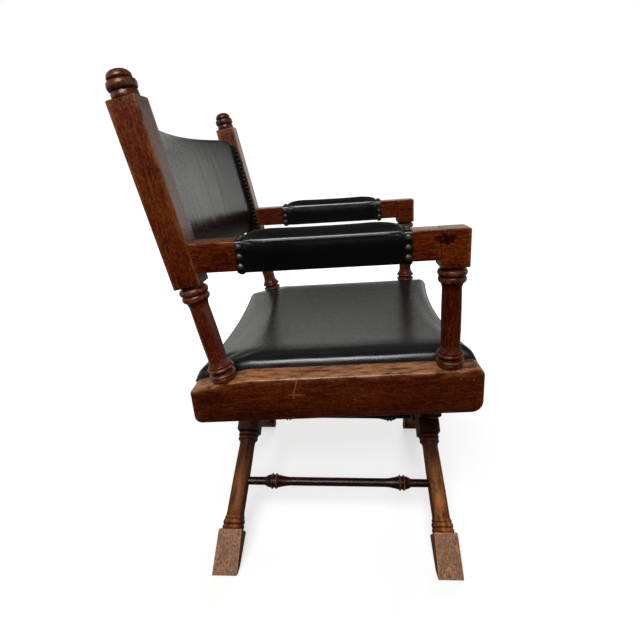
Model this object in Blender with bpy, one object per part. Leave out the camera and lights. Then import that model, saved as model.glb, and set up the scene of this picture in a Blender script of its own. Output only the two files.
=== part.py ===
"""Folding armchair: two turned side frames, two pairs of half-lapped legs, a leather seat and back.

Metres, +Z up. The chair faces -Y and the sitter's right is -X. The origin lies on the floor
below the middle of the chair. "Right" and "left" name the sitter's sides; a leg is named after
the side its foot stands on, and its head hinges on the opposite rail.
"""
import math

import bmesh
import bpy
from mathutils import Matrix, Vector

# Fits
FIT_GAP = 0.0003
BORE_GAP = 0.0004
LAP_GAP = 0.0004

# Side frames
FRAME_WIDTH = 0.566
FRAME_TILT = math.radians(3.3)
FRAME_DATUM_Y = -0.0436
STOCK = 0.0425
STOCK_CHAMFER = 0.002
EDGE_ROUND = 0.0025

# Side rails, measured from the datum along the rail and down from its top
RAIL_THICKNESS = 0.044
RAIL_HEIGHT = 0.076
RAIL_FRONT = 0.2255
RAIL_REAR = 0.248
RAIL_TOP_ABOVE_HINGE = 0.0612
RAIL_RAMP_LENGTH = 0.090
RAIL_TOP_ROUND = 0.007
RAIL_TOE_ROUND = 0.012
RAIL_HEEL_ROUND = 0.009

# Posts
FRONT_POST_AHEAD = 0.1745
REAR_POST_BEHIND = 0.195
REAR_POST_LEAN = math.radians(10.0)
TURNED_LENGTH = 0.1654
REAR_SQUARE_LENGTH = 0.2675
FRONT_BLOCK_HEIGHT = 0.0571
POST_SHAFT_RADIUS = 0.0150
POST_RING_ROOT = 0.0180
POST_BASE_BEADS = ((0.0080, 0.0203), (0.0060, 0.0222), (0.0050, 0.0172), (0.0060, 0.0220), (0.0035, 0.0192))
POST_HEAD_BEADS = ((0.0110, 0.0224), (0.0105, 0.0214))
POST_NECK = 0.0040
POST_COVE = 0.011
POST_TENON_RADIUS = 0.010
POST_TENON_DEPTH = 0.030

# Finials
FINIAL_COLLAR_RADIUS = 0.0188
FINIAL_COLLAR_HEIGHT = 0.0095
FINIAL_BEAD_RADIUS = 0.0206
FINIAL_BEAD_HEIGHT = 0.0140
FINIAL_CAP_RADIUS = 0.0172
FINIAL_CAP_HEIGHT = 0.0138
FINIAL_GROOVE_RADIUS = 0.0155
FINIAL_DOWEL_RADIUS = 0.006
FINIAL_DOWEL_DEPTH = 0.022

# Arms and their pads
ARM_DEPTH = 0.044
ARM_DOWEL_RADIUS = 0.006
ARM_DOWEL_DEPTH = 0.018
PAD_FRONT_SETBACK = 0.0415
PAD_LENGTH = 0.255
PAD_WALL = 0.0022
PAD_CROWN = 0.0150
PAD_END_CROWN = 0.0030
PAD_LIP = 0.012
PAD_NAIL_BAND = 0.0115
PAD_RISE = 0.045
PAD_RISE_STEPS = 5

# Dome nails
NAIL_RADIUS = 0.0045
NAIL_HEIGHT = 0.0028
NAIL_SIDES = 6
NAIL_STRIP_WIDTH = 0.003
NAIL_STRIP_THICKNESS = 0.0007
ARM_SIDE_NAILS = 4
BACK_NAILS = 20

# Legs, measured along the leg
LEG_ANGLE = math.radians(38.0)
FOLDED_LEG_ANGLE = math.radians(65.0)
HINGE_HEIGHT = 0.3884
FRONT_LEG_Y = -0.2384
REAR_LEG_Y = 0.1724
LEG_STOCK = 0.047
LEG_SPLAY = 0.045
LAP_CLEARANCE = 0.0008
BLOCK_CHEEK = 0.0108
LEG_SHAFT_FOOT_RADIUS = 0.0180
LEG_SHAFT_TOP_RADIUS = 0.0169
LEG_RING_ROOT = 0.0190
LEG_FOOT_BEADS = ((0.0095, 0.0222), (0.0100, 0.0218), (0.0060, 0.0202))
LEG_BLOCK_BEADS = ((0.0100, 0.0225), (0.0085, 0.0218))
LEG_COVE = 0.009
LEG_HEAD_RADIUS = 0.021
LEG_HEAD_LENGTH = 0.036
HEAD_CLEARANCE = 0.0015

# Feet
FOOT_LENGTH = 0.094
TOE_REACH = 0.2636
TOE_ANGLE = math.radians(61.0)
TOE_NOSE = 0.004
FOOT_KICK = 0.045
FOOT_FLARE = 0.003

# Stretchers
STRETCHER_FROM_FLOOR = 0.1897
STRETCHER_RADIUS = 0.0090
STRETCHER_END_RADIUS = 0.0083
STRETCHER_BULB_RADIUS = 0.0135
STRETCHER_BULB_LENGTH = 0.034
STRETCHER_RING_RADIUS = 0.0165
STRETCHER_RING_LENGTH = 0.0075
STRETCHER_BULB_INSET = 0.0545
STRETCHER_TENON_RADIUS = 0.006
STRETCHER_TENON_DEPTH = 0.011

# Hinge hardware
BOLT_RADIUS = 0.005
BOLT_HEAD_RADIUS = 0.0105
BOLT_HEAD_HEIGHT = 0.0055
BOLT_REACH_IN_CLEAT = 0.030
NUT_HEIGHT = 0.0075
NUT_WALL = 0.0045
CLEAT_WIDTH = 0.036
CLEAT_HEIGHT = 0.036
CLEAT_SCREW_INSET = 0.085
SCREW_RADIUS = 0.0022
SCREW_HEAD_RADIUS = 0.0045
SCREW_HEAD_HEIGHT = 0.0022
SCREW_BITE = 0.018

# Seat, measured from the rail top and the frame datum
SEAT_FRONT = 0.2255
SEAT_REAR = 0.2475
SEAT_SCALLOP = 0.0170
SEAT_REAR_BULGE = 0.008
SEAT_PROUD = 0.0010
SEAT_CROWN = 0.0120
SEAT_SAG = 0.0100
SEAT_DEPTH = 0.0180
SEAT_ROLL = 0.030
SEAT_CELLS = 14
BATTEN_WIDTH = 0.012
BATTEN_HEIGHT = 0.008
BATTEN_END_INSET = 0.012

# Back, measured down the rear post from its top and forward of the post's axis
BACK_TOP_DROP = 0.0275
BACK_TOP_DIP = 0.001
BACK_BOTTOM_DROP = 0.250
BACK_CORNER = 0.018
BACK_EDGE_FORE = 0.0095
BACK_EDGE_DEPTH = 0.013
BACK_HOLLOW = 0.030
BACK_PLUMP = 0.009
BACK_CELLS_ACROSS = 16
BACK_CELLS_DOWN = 12

# Facets
RING_SIDES = 12
BORE_SIDES = 12

# Derived places
OUTER_FACE = FRAME_WIDTH / 2
INNER_FACE = OUTER_FACE - RAIL_THICKNESS
POST_X = OUTER_FACE - STOCK / 2
HINGE_X = INNER_FACE - LEG_HEAD_RADIUS - HEAD_CLEARANCE
CROSSING_HEIGHT = HINGE_HEIGHT - HINGE_X * math.tan(LEG_ANGLE)
UPPER_LEG = HINGE_X / math.cos(LEG_ANGLE)
LOWER_LEG = CROSSING_HEIGHT / math.sin(LEG_ANGLE)
LAP_OPEN_REACH = LEG_STOCK / 2 / math.tan(LEG_ANGLE) + LAP_CLEARANCE
LAP_FOLDED_REACH = LEG_STOCK / 2 * math.tan(FOLDED_LEG_ANGLE) + LAP_CLEARANCE
BLOCK_HALF = LAP_FOLDED_REACH + BLOCK_CHEEK
ARM_TOP = TURNED_LENGTH + FRONT_BLOCK_HEIGHT
ARM_BOTTOM = ARM_TOP - ARM_DEPTH
FRONT_BLOCK_REAR = FRONT_POST_AHEAD - STOCK / 2
REAR_POST_TOP = TURNED_LENGTH + REAR_SQUARE_LENGTH
SEAT_HALF = INNER_FACE - FIT_GAP
BACK_HALF = OUTER_FACE - STOCK - FIT_GAP


class Side:
    """One side of the chair: its name and the sign of its X."""

    def __init__(self, name, sign):
        self.name = name
        self.sign = sign


RIGHT = Side("right", -1.0)
LEFT = Side("left", 1.0)


def finish_material(name, colour, roughness, metallic=0.0):
    """Principled material with one colour."""
    material = bpy.data.materials.new(name)
    material.use_nodes = True
    shader = material.node_tree.nodes["Principled BSDF"]
    shader.inputs["Base Color"].default_value = (*colour, 1.0)
    shader.inputs["Roughness"].default_value = roughness
    shader.inputs["Metallic"].default_value = metallic
    return material


def empty(name, parent=None, location=(0.0, 0.0, 0.0), tilt=0.0):
    """Empty that carries pieces; tilt turns it about X."""
    carrier = bpy.data.objects.new(name, None)
    bpy.context.collection.objects.link(carrier)
    carrier.parent = parent
    carrier.location = location
    carrier.rotation_euler = (tilt, 0.0, 0.0)
    return carrier


def place(name, shape, material, parent=None, location=(0.0, 0.0, 0.0), rotation=(0.0, 0.0, 0.0)):
    """Turn a bmesh into a named, shaded object in its place."""
    bmesh.ops.recalc_face_normals(shape, faces=shape.faces)
    mesh = bpy.data.meshes.new(name)
    shape.to_mesh(mesh)
    shape.free()
    mesh.materials.append(material)
    mesh.shade_smooth()
    mesh.set_sharp_from_angle(angle=math.radians(35.0))
    piece = bpy.data.objects.new(name, mesh)
    bpy.context.collection.objects.link(piece)
    piece.parent = parent
    piece.location = location
    piece.rotation_euler = rotation
    return piece


def combine(piece, shape, label, operation="DIFFERENCE"):
    """Cut a bmesh, given in the piece's own coordinates, out of the piece or unite the two."""
    mesh = bpy.data.meshes.new(f"{piece.name}_{label}")
    bmesh.ops.recalc_face_normals(shape, faces=shape.faces)
    shape.to_mesh(mesh)
    shape.free()
    tool = bpy.data.objects.new(mesh.name, mesh)
    bpy.context.collection.objects.link(tool)
    tool.parent = piece
    tool.hide_render = True
    tool.display_type = "WIRE"
    modifier = piece.modifiers.new(label, "BOOLEAN")
    modifier.operation = operation
    modifier.solver = "EXACT"
    modifier.object = tool


def round_edges(piece):
    """Ease the sharp edges of a sawn piece."""
    modifier = piece.modifiers.new("eased_edges", "BEVEL")
    modifier.width = EDGE_ROUND
    modifier.segments = 1
    modifier.limit_method = "ANGLE"
    modifier.angle_limit = math.radians(50.0)


def ring(along, half_x, half_y, square=False, shift_y=0.0):
    """Twelve points around the Z axis: an ellipse, or a rectangle with chamfered corners."""
    points = []
    for index in range(RING_SIDES):
        angle = 2 * math.pi * index / RING_SIDES
        x, y = math.cos(angle), math.sin(angle)
        if square:
            sign_x = round(math.copysign(abs(x) > 1e-6, x))
            sign_y = round(math.copysign(abs(y) > 1e-6, y))
            wide = abs(x) > abs(y)
            x = sign_x * (half_x if wide else half_x - STOCK_CHAMFER)
            y = sign_y * (half_y - STOCK_CHAMFER if wide else half_y)
        else:
            x, y = x * half_x, y * half_y
        points.append(Vector((x, y + shift_y, along)))
    return points


def loft(shape, rings):
    """Skin a list of rings into one closed body."""
    loops = [[shape.verts.new(point) for point in points] for points in rings]
    count = len(loops[0])
    for lower, upper in zip(loops, loops[1:]):
        for index in range(count):
            following = (index + 1) % count
            shape.faces.new((lower[index], lower[following], upper[following], upper[index]))
    shape.faces.new(reversed(loops[0]))
    shape.faces.new(loops[-1])


def turned(profile):
    """Round rings from (along, radius) pairs."""
    return [ring(along, radius, radius) for along, radius in profile]


def bead_stack(start, sense, beads, root, cove, shaft):
    """Profile of a row of beads from start, then a cove down to the shaft.

    Each bead is (length, crown radius): it swells from the root radius to its crown and back.
    """
    profile = [(start, root)]
    along = start
    for length, crown in beads:
        profile.append((along + sense * 0.30 * length, crown))
        profile.append((along + sense * 0.70 * length, crown))
        along += sense * length
        profile.append((along, root))
    profile.append((along + sense * cove, shaft))
    return profile


def stack_length(beads):
    """Length of a row of beads."""
    return sum(length for length, crown in beads)


def rod(shape, start, end, radius, sides=BORE_SIDES):
    """Straight closed cylinder between two points."""
    axis = Vector(end) - Vector(start)
    turn = axis.to_track_quat("Z", "Y").to_matrix().to_4x4()
    matrix = Matrix.Translation((Vector(start) + Vector(end)) / 2) @ turn
    bmesh.ops.create_cone(shape, cap_ends=True, segments=sides, radius1=radius, radius2=radius,
                          depth=axis.length, matrix=matrix)


def box(shape, low, high):
    """Closed box between two corners."""
    low, high = Vector(low), Vector(high)
    size = high - low
    matrix = Matrix.Translation((low + high) / 2) @ Matrix.Diagonal((*size, 1.0))
    bmesh.ops.create_cube(shape, size=1.0, matrix=matrix)


def dome(shape, centre, normal):
    """Nail head standing on a face, half a strip's thickness above the fit gap."""
    normal = Vector(normal).normalized()
    turn = normal.to_track_quat("Z", "Y").to_matrix().to_4x4()
    lift = FIT_GAP + NAIL_STRIP_THICKNESS / 2
    matrix = Matrix.Translation(Vector(centre) + normal * lift) @ turn
    angles = [2 * math.pi * k / NAIL_SIDES for k in range(NAIL_SIDES)]
    rings = [[matrix @ Vector((radius * math.cos(a), radius * math.sin(a), height)) for a in angles]
             for radius, height in ((NAIL_RADIUS, 0.0), (0.55 * NAIL_RADIUS, NAIL_HEIGHT))]
    loft(shape, rings)


def rounded_outline(corners, steps=4):
    """Closed outline whose corners (u, w, radius) are replaced by arcs."""
    outline = []
    count = len(corners)
    for index, (u, w, radius) in enumerate(corners):
        corner = Vector((u, w))
        if radius == 0.0:
            outline.append(corner)
            continue
        before = Vector(corners[index - 1][:2])
        after = Vector(corners[(index + 1) % count][:2])
        to_before = (before - corner).normalized()
        to_after = (after - corner).normalized()
        half = to_before.angle(to_after) / 2
        centre = corner + (to_before + to_after).normalized() * radius / math.sin(half)
        first = corner + to_before * radius / math.tan(half) - centre
        last = corner + to_after * radius / math.tan(half) - centre
        sweep = first.angle_signed(last)
        for step in range(steps + 1):
            turn = Matrix.Rotation(-sweep * step / steps, 2)
            outline.append(centre + turn @ first)
    return outline


def plank(shape, outline, half_width):
    """Prism along X from an outline of (ahead, up) points; ahead is -Y."""
    loft(shape, [[Vector((x, -u, w)) for u, w in outline] for x in (-half_width, half_width)])


def grid_solid(shape, front, back, across, down):
    """Closed panel between two grids of points; front and back map (s, t) to a point."""
    def sheet(surface):
        return [[shape.verts.new(surface(-math.cos(math.pi * i / across),
                                         0.5 - 0.5 * math.cos(math.pi * j / down)))
                 for i in range(across + 1)] for j in range(down + 1)]

    first, second = sheet(front), sheet(back)
    for j in range(down):
        for i in range(across):
            shape.faces.new((first[j][i], first[j][i + 1], first[j + 1][i + 1], first[j + 1][i]))
            shape.faces.new((second[j][i], second[j + 1][i], second[j + 1][i + 1], second[j][i + 1]))
    border = [(0, i) for i in range(across)]
    border += [(j, across) for j in range(down)]
    border += [(down, i) for i in range(across, 0, -1)]
    border += [(j, 0) for j in range(down, 0, -1)]
    for (j, i), (jn, in_) in zip(border, border[1:] + border[:1]):
        shape.faces.new((first[jn][in_], first[j][i], second[j][i], second[jn][in_]))


def roll(distance, radius):
    """Quarter-circle rise from an edge: 0 at the edge, 1 one radius inside."""
    inside = min(max(distance / radius, 0.0), 1.0)
    return math.sqrt(1.0 - (1.0 - inside) ** 2)


def rear_post_front(height):
    """How far ahead of the datum the rear post's front face lies, at a height above the rail top."""
    return -REAR_POST_BEHIND - height * math.tan(REAR_POST_LEAN) + STOCK / 2 / math.cos(REAR_POST_LEAN)


def ramp_drop(behind):
    """How far the ramped rail top lies below the straight one, at a distance behind the datum."""
    return max(0.0, behind - (RAIL_REAR - RAIL_RAMP_LENGTH)) * math.tan(REAR_POST_LEAN)


def rear_post_seat():
    """Point (ahead, up) where the rear post's axis meets the rail's ramp."""
    drop = ramp_drop(REAR_POST_BEHIND)
    drop /= 1.0 + math.tan(REAR_POST_LEAN) ** 2
    return Vector((-REAR_POST_BEHIND + drop * math.tan(REAR_POST_LEAN), -drop))


def post_profile():
    """Turned lower length of a post, tenon included, from its tenon's tip to its square."""
    base = bead_stack(0.0, 1.0, POST_BASE_BEADS, POST_RING_ROOT, POST_COVE, POST_SHAFT_RADIUS)
    head = bead_stack(TURNED_LENGTH - POST_NECK, -1.0, POST_HEAD_BEADS, POST_RING_ROOT, POST_COVE,
                      POST_SHAFT_RADIUS)
    tenon = [(-POST_TENON_DEPTH, POST_TENON_RADIUS), (0.0, POST_TENON_RADIUS)]
    return tenon + base + head[::-1] + [(TURNED_LENGTH, POST_RING_ROOT)]


def side_rail(side, frame, wood):
    """Plank with rounded ends, ramped at the rear, bored for both posts and the cleat screws."""
    ramp_start = RAIL_REAR - RAIL_RAMP_LENGTH
    corners = (
        (-ramp_start, 0.0, 0.0),
        (-RAIL_REAR, -ramp_drop(RAIL_REAR), RAIL_TOP_ROUND),
        (-RAIL_REAR, -RAIL_HEIGHT, RAIL_HEEL_ROUND),
        (RAIL_FRONT, -RAIL_HEIGHT, RAIL_TOE_ROUND),
        (RAIL_FRONT, 0.0, RAIL_TOP_ROUND),
    )
    shape = bmesh.new()
    plank(shape, rounded_outline(corners), RAIL_THICKNESS / 2)
    rail = place(f"{side.name}_side_rail", shape, wood, frame,
                 (side.sign * (OUTER_FACE - RAIL_THICKNESS / 2 - HINGE_X), 0.0, RAIL_TOP_ABOVE_HINGE))
    round_edges(rail)

    bores = bmesh.new()
    post_shift = side.sign * (POST_X - OUTER_FACE + RAIL_THICKNESS / 2)
    depth = POST_TENON_DEPTH + BORE_GAP
    bore = POST_TENON_RADIUS + BORE_GAP
    rod(bores, (post_shift, -FRONT_POST_AHEAD, depth), (post_shift, -FRONT_POST_AHEAD, -depth), bore)
    seat = rear_post_seat()
    lean = Vector((0.0, math.sin(REAR_POST_LEAN), math.cos(REAR_POST_LEAN)))
    foot = Vector((post_shift, -seat.x, seat.y))
    rod(bores, foot + lean * depth, foot - lean * depth, bore)
    into_frame = rail.matrix_basis.inverted() @ frame.matrix_basis.inverted()
    for end, start, tip in cleat_screw_lines(side):
        rod(bores, into_frame @ start, into_frame @ (tip + (tip - start).normalized() * BORE_GAP),
            SCREW_RADIUS + BORE_GAP)
    combine(rail, bores, "bores")


def cleat_screw_lines(side):
    """End of the cleat, start and tip of each cleat screw, in the hinge's coordinates."""
    low, high = cleat_ends()
    head = side.sign * (INNER_FACE - FIT_GAP - CLEAT_WIDTH - HINGE_X)
    tip = side.sign * (INNER_FACE + SCREW_BITE - HINGE_X)
    return [(end, Vector((head, y, 0.0)), Vector((tip, y, 0.0)))
            for end, y in (("front", low + CLEAT_SCREW_INSET), ("rear", high - CLEAT_SCREW_INSET))]


def cleat_ends():
    """Front and rear end of a hinge cleat, between the leg heads."""
    return FRONT_LEG_Y + LEG_STOCK / 2 + FIT_GAP, REAR_LEG_Y - LEG_STOCK / 2 - FIT_GAP


def front_post(side, frame, wood):
    """Turned post with a square head block, bored for the arm's dowel."""
    shape = bmesh.new()
    half = STOCK / 2
    head = [ring(TURNED_LENGTH, half, half, True), ring(ARM_TOP - STOCK_CHAMFER, half, half, True),
            ring(ARM_TOP, half - STOCK_CHAMFER, half - STOCK_CHAMFER, True)]
    loft(shape, turned(post_profile()) + head)
    post = place(f"{side.name}_front_post", shape, wood, frame,
                 (side.sign * (POST_X - HINGE_X), -FRONT_POST_AHEAD, RAIL_TOP_ABOVE_HINGE + FIT_GAP))
    bores = bmesh.new()
    middle = (ARM_TOP + ARM_BOTTOM) / 2 - FIT_GAP
    rod(bores, (0.0, half + BORE_GAP, middle), (0.0, half - ARM_DOWEL_DEPTH - BORE_GAP, middle),
        ARM_DOWEL_RADIUS + BORE_GAP)
    combine(post, bores, "bores")


def rear_post(side, lean, wood):
    """Post turned below and square above, bored for the finial and the arm's dowel."""
    shape = bmesh.new()
    half = STOCK / 2
    square = [ring(TURNED_LENGTH, half, half, True), ring(REAR_POST_TOP - STOCK_CHAMFER, half, half, True),
              ring(REAR_POST_TOP, half - STOCK_CHAMFER, half - STOCK_CHAMFER, True)]
    loft(shape, turned(post_profile()) + square)
    post = place(f"{side.name}_rear_post", shape, wood, lean, (0.0, 0.0, FIT_GAP))
    bores = bmesh.new()
    rod(bores, (0.0, 0.0, REAR_POST_TOP + BORE_GAP),
        (0.0, 0.0, REAR_POST_TOP - FINIAL_DOWEL_DEPTH - BORE_GAP), FINIAL_DOWEL_RADIUS + BORE_GAP)
    start, end = rear_dowel_line()
    reach = (end - start).normalized() * BORE_GAP
    into_post = Matrix.Translation((0.0, 0.0, -FIT_GAP)) @ lean.matrix_basis.inverted()
    side_shift = Vector((side.sign * (POST_X - HINGE_X), 0.0, 0.0))
    rod(bores, into_post @ (start + side_shift), into_post @ (end + reach + side_shift),
        ARM_DOWEL_RADIUS + BORE_GAP)
    combine(post, bores, "bores")


def rear_dowel_line():
    """Rear arm dowel from inside the arm to its tip in the post, in the frame's coordinates."""
    middle = (ARM_TOP + ARM_BOTTOM) / 2
    face = rear_post_front(middle)
    height = RAIL_TOP_ABOVE_HINGE + middle
    return (Vector((0.0, -face - ARM_DOWEL_DEPTH, height)), Vector((0.0, -face + ARM_DOWEL_DEPTH, height)))


def front_dowel_line():
    """Front arm dowel from inside the arm to its tip in the post's block."""
    height = RAIL_TOP_ABOVE_HINGE + (ARM_TOP + ARM_BOTTOM) / 2
    return (Vector((0.0, -FRONT_BLOCK_REAR + ARM_DOWEL_DEPTH, height)),
            Vector((0.0, -FRONT_BLOCK_REAR - ARM_DOWEL_DEPTH, height)))


def finial(side, lean, wood):
    """Turned mushroom finial on a dowel: collar, large bead, domed cap."""
    profile = [(-FINIAL_DOWEL_DEPTH, FINIAL_DOWEL_RADIUS), (0.0, FINIAL_DOWEL_RADIUS),
               (0.0, FINIAL_COLLAR_RADIUS), (FINIAL_COLLAR_HEIGHT, FINIAL_COLLAR_RADIUS),
               (FINIAL_COLLAR_HEIGHT, FINIAL_GROOVE_RADIUS)]
    for step in range(1, 4):
        angle = math.pi * step / 4
        swell = FINIAL_GROOVE_RADIUS + (FINIAL_BEAD_RADIUS - FINIAL_GROOVE_RADIUS) * math.sin(angle) ** 0.5
        profile.append((FINIAL_COLLAR_HEIGHT + FINIAL_BEAD_HEIGHT * step / 4, swell))
    cap_start = FINIAL_COLLAR_HEIGHT + FINIAL_BEAD_HEIGHT
    profile.append((cap_start, FINIAL_GROOVE_RADIUS))
    for step in range(1, 5):
        angle = math.pi / 2 * step / 5
        profile.append((cap_start + FINIAL_CAP_HEIGHT * (0.3 + 0.7 * math.sin(angle)),
                        FINIAL_CAP_RADIUS * math.cos(angle)))
    profile.insert(-4, (cap_start + 0.15 * FINIAL_CAP_HEIGHT, FINIAL_CAP_RADIUS))
    shape = bmesh.new()
    loft(shape, turned(profile))
    place(f"{side.name}_finial", shape, wood, lean, (0.0, 0.0, REAR_POST_TOP + 2 * FIT_GAP))


def arm(side, frame, wood):
    """Square bar between the front block and the leaning rear post, bored at both ends."""
    slant = FIT_GAP / math.cos(REAR_POST_LEAN)
    outline = [Vector((rear_post_front(ARM_BOTTOM) + slant, ARM_BOTTOM)),
               Vector((FRONT_BLOCK_REAR - FIT_GAP, ARM_BOTTOM)),
               Vector((FRONT_BLOCK_REAR - FIT_GAP, ARM_TOP)),
               Vector((rear_post_front(ARM_TOP) + slant, ARM_TOP))]
    shape = bmesh.new()
    plank(shape, outline, STOCK / 2)
    bar = place(f"{side.name}_arm", shape, wood, frame,
                (side.sign * (POST_X - HINGE_X), 0.0, RAIL_TOP_ABOVE_HINGE))
    round_edges(bar)
    bores = bmesh.new()
    lift = Vector((0.0, 0.0, RAIL_TOP_ABOVE_HINGE))
    for start, end in (rear_dowel_line(), front_dowel_line()):
        reach = (end - start).normalized() * BORE_GAP
        rod(bores, start - reach - lift, end - lift, ARM_DOWEL_RADIUS + BORE_GAP)
    combine(bar, bores, "bores")


def arm_dowels(side, frame, wood):
    """Two dowels that hold the arm between its posts."""
    for end, (start, tip) in (("rear", rear_dowel_line()), ("front", front_dowel_line())):
        shape = bmesh.new()
        rod(shape, start, tip, ARM_DOWEL_RADIUS)
        place(f"{side.name}_{end}_arm_dowel", shape, wood, frame,
              (side.sign * (POST_X - HINGE_X), 0.0, 0.0))


def pad_crown(from_end):
    """Height of the pad's dome: low over the nail band at each end, then rising to the full crown."""
    return PAD_END_CROWN + (PAD_CROWN - PAD_END_CROWN) * roll(from_end - PAD_NAIL_BAND, PAD_RISE)


def pad_dome(crown, offset=0.0):
    """Nine points (x, up) over the pad's top from flank to flank, moved out by an offset."""
    outer = STOCK / 2 + FIT_GAP + PAD_WALL + offset
    points = []
    for step in range(9):
        angle = math.pi * step / 8
        rise = crown * math.sin(angle) ** 0.7 + offset * math.sin(angle)
        points.append(Vector((-outer * math.cos(angle), ARM_TOP + FIT_GAP + rise)))
    return points


def pad_section(crown):
    """Closed outline of the wrapped leather: domed over the arm, lips turned in below it."""
    half = STOCK / 2 + FIT_GAP
    outer = half + PAD_WALL
    low, high = ARM_BOTTOM - FIT_GAP, ARM_TOP + FIT_GAP
    lip = half - PAD_LIP
    outline = [(-lip, low), (-lip, low - PAD_WALL), (-outer, low - PAD_WALL)]
    outline += pad_dome(crown)
    outline += [(outer, low - PAD_WALL), (lip, low - PAD_WALL), (lip, low), (half, low),
                (half, high), (-half, high), (-half, low)]
    return outline


def arm_pad(side, frame, leather):
    """Leather pad wrapped over the middle of the arm."""
    shape = bmesh.new()
    stations = [0.0]
    for step in range(PAD_RISE_STEPS + 1):
        stations.append(PAD_NAIL_BAND + PAD_RISE * (step / PAD_RISE_STEPS) ** 1.7)
    stations += [PAD_LENGTH - station for station in reversed(stations)]
    rings = []
    for behind in stations:
        ahead = FRONT_BLOCK_REAR - PAD_FRONT_SETBACK - behind
        crown = pad_crown(min(behind, PAD_LENGTH - behind))
        rings.append([Vector((x, -ahead, w)) for x, w in pad_section(crown)])
    loft(shape, rings)
    place(f"{side.name}_arm_pad", shape, leather, frame,
          (side.sign * (POST_X - HINGE_X), 0.0, RAIL_TOP_ABOVE_HINGE))


def nail_path(offset):
    """Path (x, up) around a pad's end, from the foot of one flank over the top to the other."""
    over = pad_dome(PAD_END_CROWN, offset)
    return [Vector((over[0].x, ARM_BOTTOM)), *over, Vector((over[-1].x, ARM_BOTTOM))]


def arm_nails(side, frame, brass):
    """Strip of nail heads around each end of the pad: up both flanks and over the top."""
    inset = PAD_NAIL_BAND / 2
    pitch = ARM_DEPTH / ARM_SIDE_NAILS
    over = pad_dome(PAD_END_CROWN)
    flank = over[-1].x
    outline = nail_path(1.4 * FIT_GAP) + nail_path(1.4 * FIT_GAP + NAIL_STRIP_THICKNESS)[::-1]
    for end, behind in (("front", inset), ("rear", PAD_LENGTH - inset)):
        y = PAD_FRONT_SETBACK + behind - FRONT_BLOCK_REAR
        strip, heads = bmesh.new(), bmesh.new()
        loft(strip, [[Vector((x, y + edge, w)) for x, w in outline]
                     for edge in (-NAIL_STRIP_WIDTH / 2, NAIL_STRIP_WIDTH / 2)])
        for index in range(ARM_SIDE_NAILS):
            height = ARM_BOTTOM + pitch * (index + 0.5)
            for sign in (-1.0, 1.0):
                dome(heads, (sign * flank, y, height), (sign, 0.0, 0.0))
        for first, last in ((over[2], over[3]), (over[5], over[6])):
            run = last - first
            middle = (first + last) / 2
            dome(heads, (middle.x, y, middle.y), (-run.y, 0.0, run.x))
        dome(heads, (0.0, y, over[4].y), (0.0, 0.0, 1.0))
        piece = place(f"{side.name}_arm_{end}_nails", strip, brass, frame,
                      (side.sign * (POST_X - HINGE_X), 0.0, RAIL_TOP_ABOVE_HINGE))
        combine(piece, heads, "heads", "UNION")


def back_nails(side, lean, brass):
    """Strip of nail heads on the rear post's inner face, beside the back's edge."""
    fore = (BACK_EDGE_FORE + STOCK / 2) / 2
    first = BACK_TOP_DROP + BACK_CORNER
    pitch = (BACK_BOTTOM_DROP - first) / BACK_NAILS
    inward = -side.sign
    strip, heads = bmesh.new(), bmesh.new()
    faces = sorted(inward * (STOCK / 2 + gap) for gap in (FIT_GAP, FIT_GAP + NAIL_STRIP_THICKNESS))
    box(strip, (faces[0], -fore - NAIL_STRIP_WIDTH / 2, REAR_POST_TOP - BACK_BOTTOM_DROP),
        (faces[1], -fore + NAIL_STRIP_WIDTH / 2, REAR_POST_TOP - first))
    for index in range(BACK_NAILS):
        height = REAR_POST_TOP - first - pitch * (index + 0.5)
        dome(heads, (inward * STOCK / 2, -fore, height), (inward, 0.0, 0.0))
    piece = place(f"{side.name}_back_nails", strip, brass, lean)
    combine(piece, heads, "heads", "UNION")


def hinge_cleat(side, hinge, wood):
    """Level batten on the rail's inner face that takes the hinge bolts in its ends."""
    low, high = cleat_ends()
    outside = INNER_FACE - FIT_GAP - HINGE_X
    shape = bmesh.new()
    faces = sorted((side.sign * outside, side.sign * (outside - CLEAT_WIDTH)))
    box(shape, (faces[0], low, -CLEAT_HEIGHT / 2), (faces[1], high, CLEAT_HEIGHT / 2))
    cleat = place(f"{side.name}_hinge_cleat", shape, wood, hinge)
    round_edges(cleat)
    bores = bmesh.new()
    for face, sense in ((low, 1.0), (high, -1.0)):
        rod(bores, (0.0, face - sense * BORE_GAP, 0.0),
            (0.0, face + sense * (BOLT_REACH_IN_CLEAT + BORE_GAP), 0.0), BOLT_RADIUS + BORE_GAP)
    for end, start, tip in cleat_screw_lines(side):
        past = (tip - start).normalized() * BORE_GAP
        rod(bores, start - past, start + past + Vector((side.sign * CLEAT_WIDTH, 0.0, 0.0)),
            SCREW_RADIUS + BORE_GAP)
    combine(cleat, bores, "bores")


def screw(shape, start, tip):
    """Round-head wood screw; its head rests on the face where the shank starts."""
    along = (tip - start).normalized()
    turn = along.to_track_quat("Z", "Y").to_matrix().to_4x4()
    matrix = Matrix.Translation(start) @ turn
    profile = [(-FIT_GAP - SCREW_HEAD_HEIGHT, 0.5 * SCREW_HEAD_RADIUS),
               (-FIT_GAP - 0.5 * SCREW_HEAD_HEIGHT, 0.9 * SCREW_HEAD_RADIUS),
               (-FIT_GAP, SCREW_HEAD_RADIUS), (-FIT_GAP, SCREW_RADIUS),
               ((tip - start).length, SCREW_RADIUS)]
    loft(shape, [[matrix @ point for point in points] for points in turned(profile)])


def cleat_screws(side, hinge, steel):
    """Wood screws through the cleat into the rail."""
    for end, start, tip in cleat_screw_lines(side):
        shape = bmesh.new()
        screw(shape, start, tip)
        place(f"{side.name}_{end}_cleat_screw", shape, steel, hinge)


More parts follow.
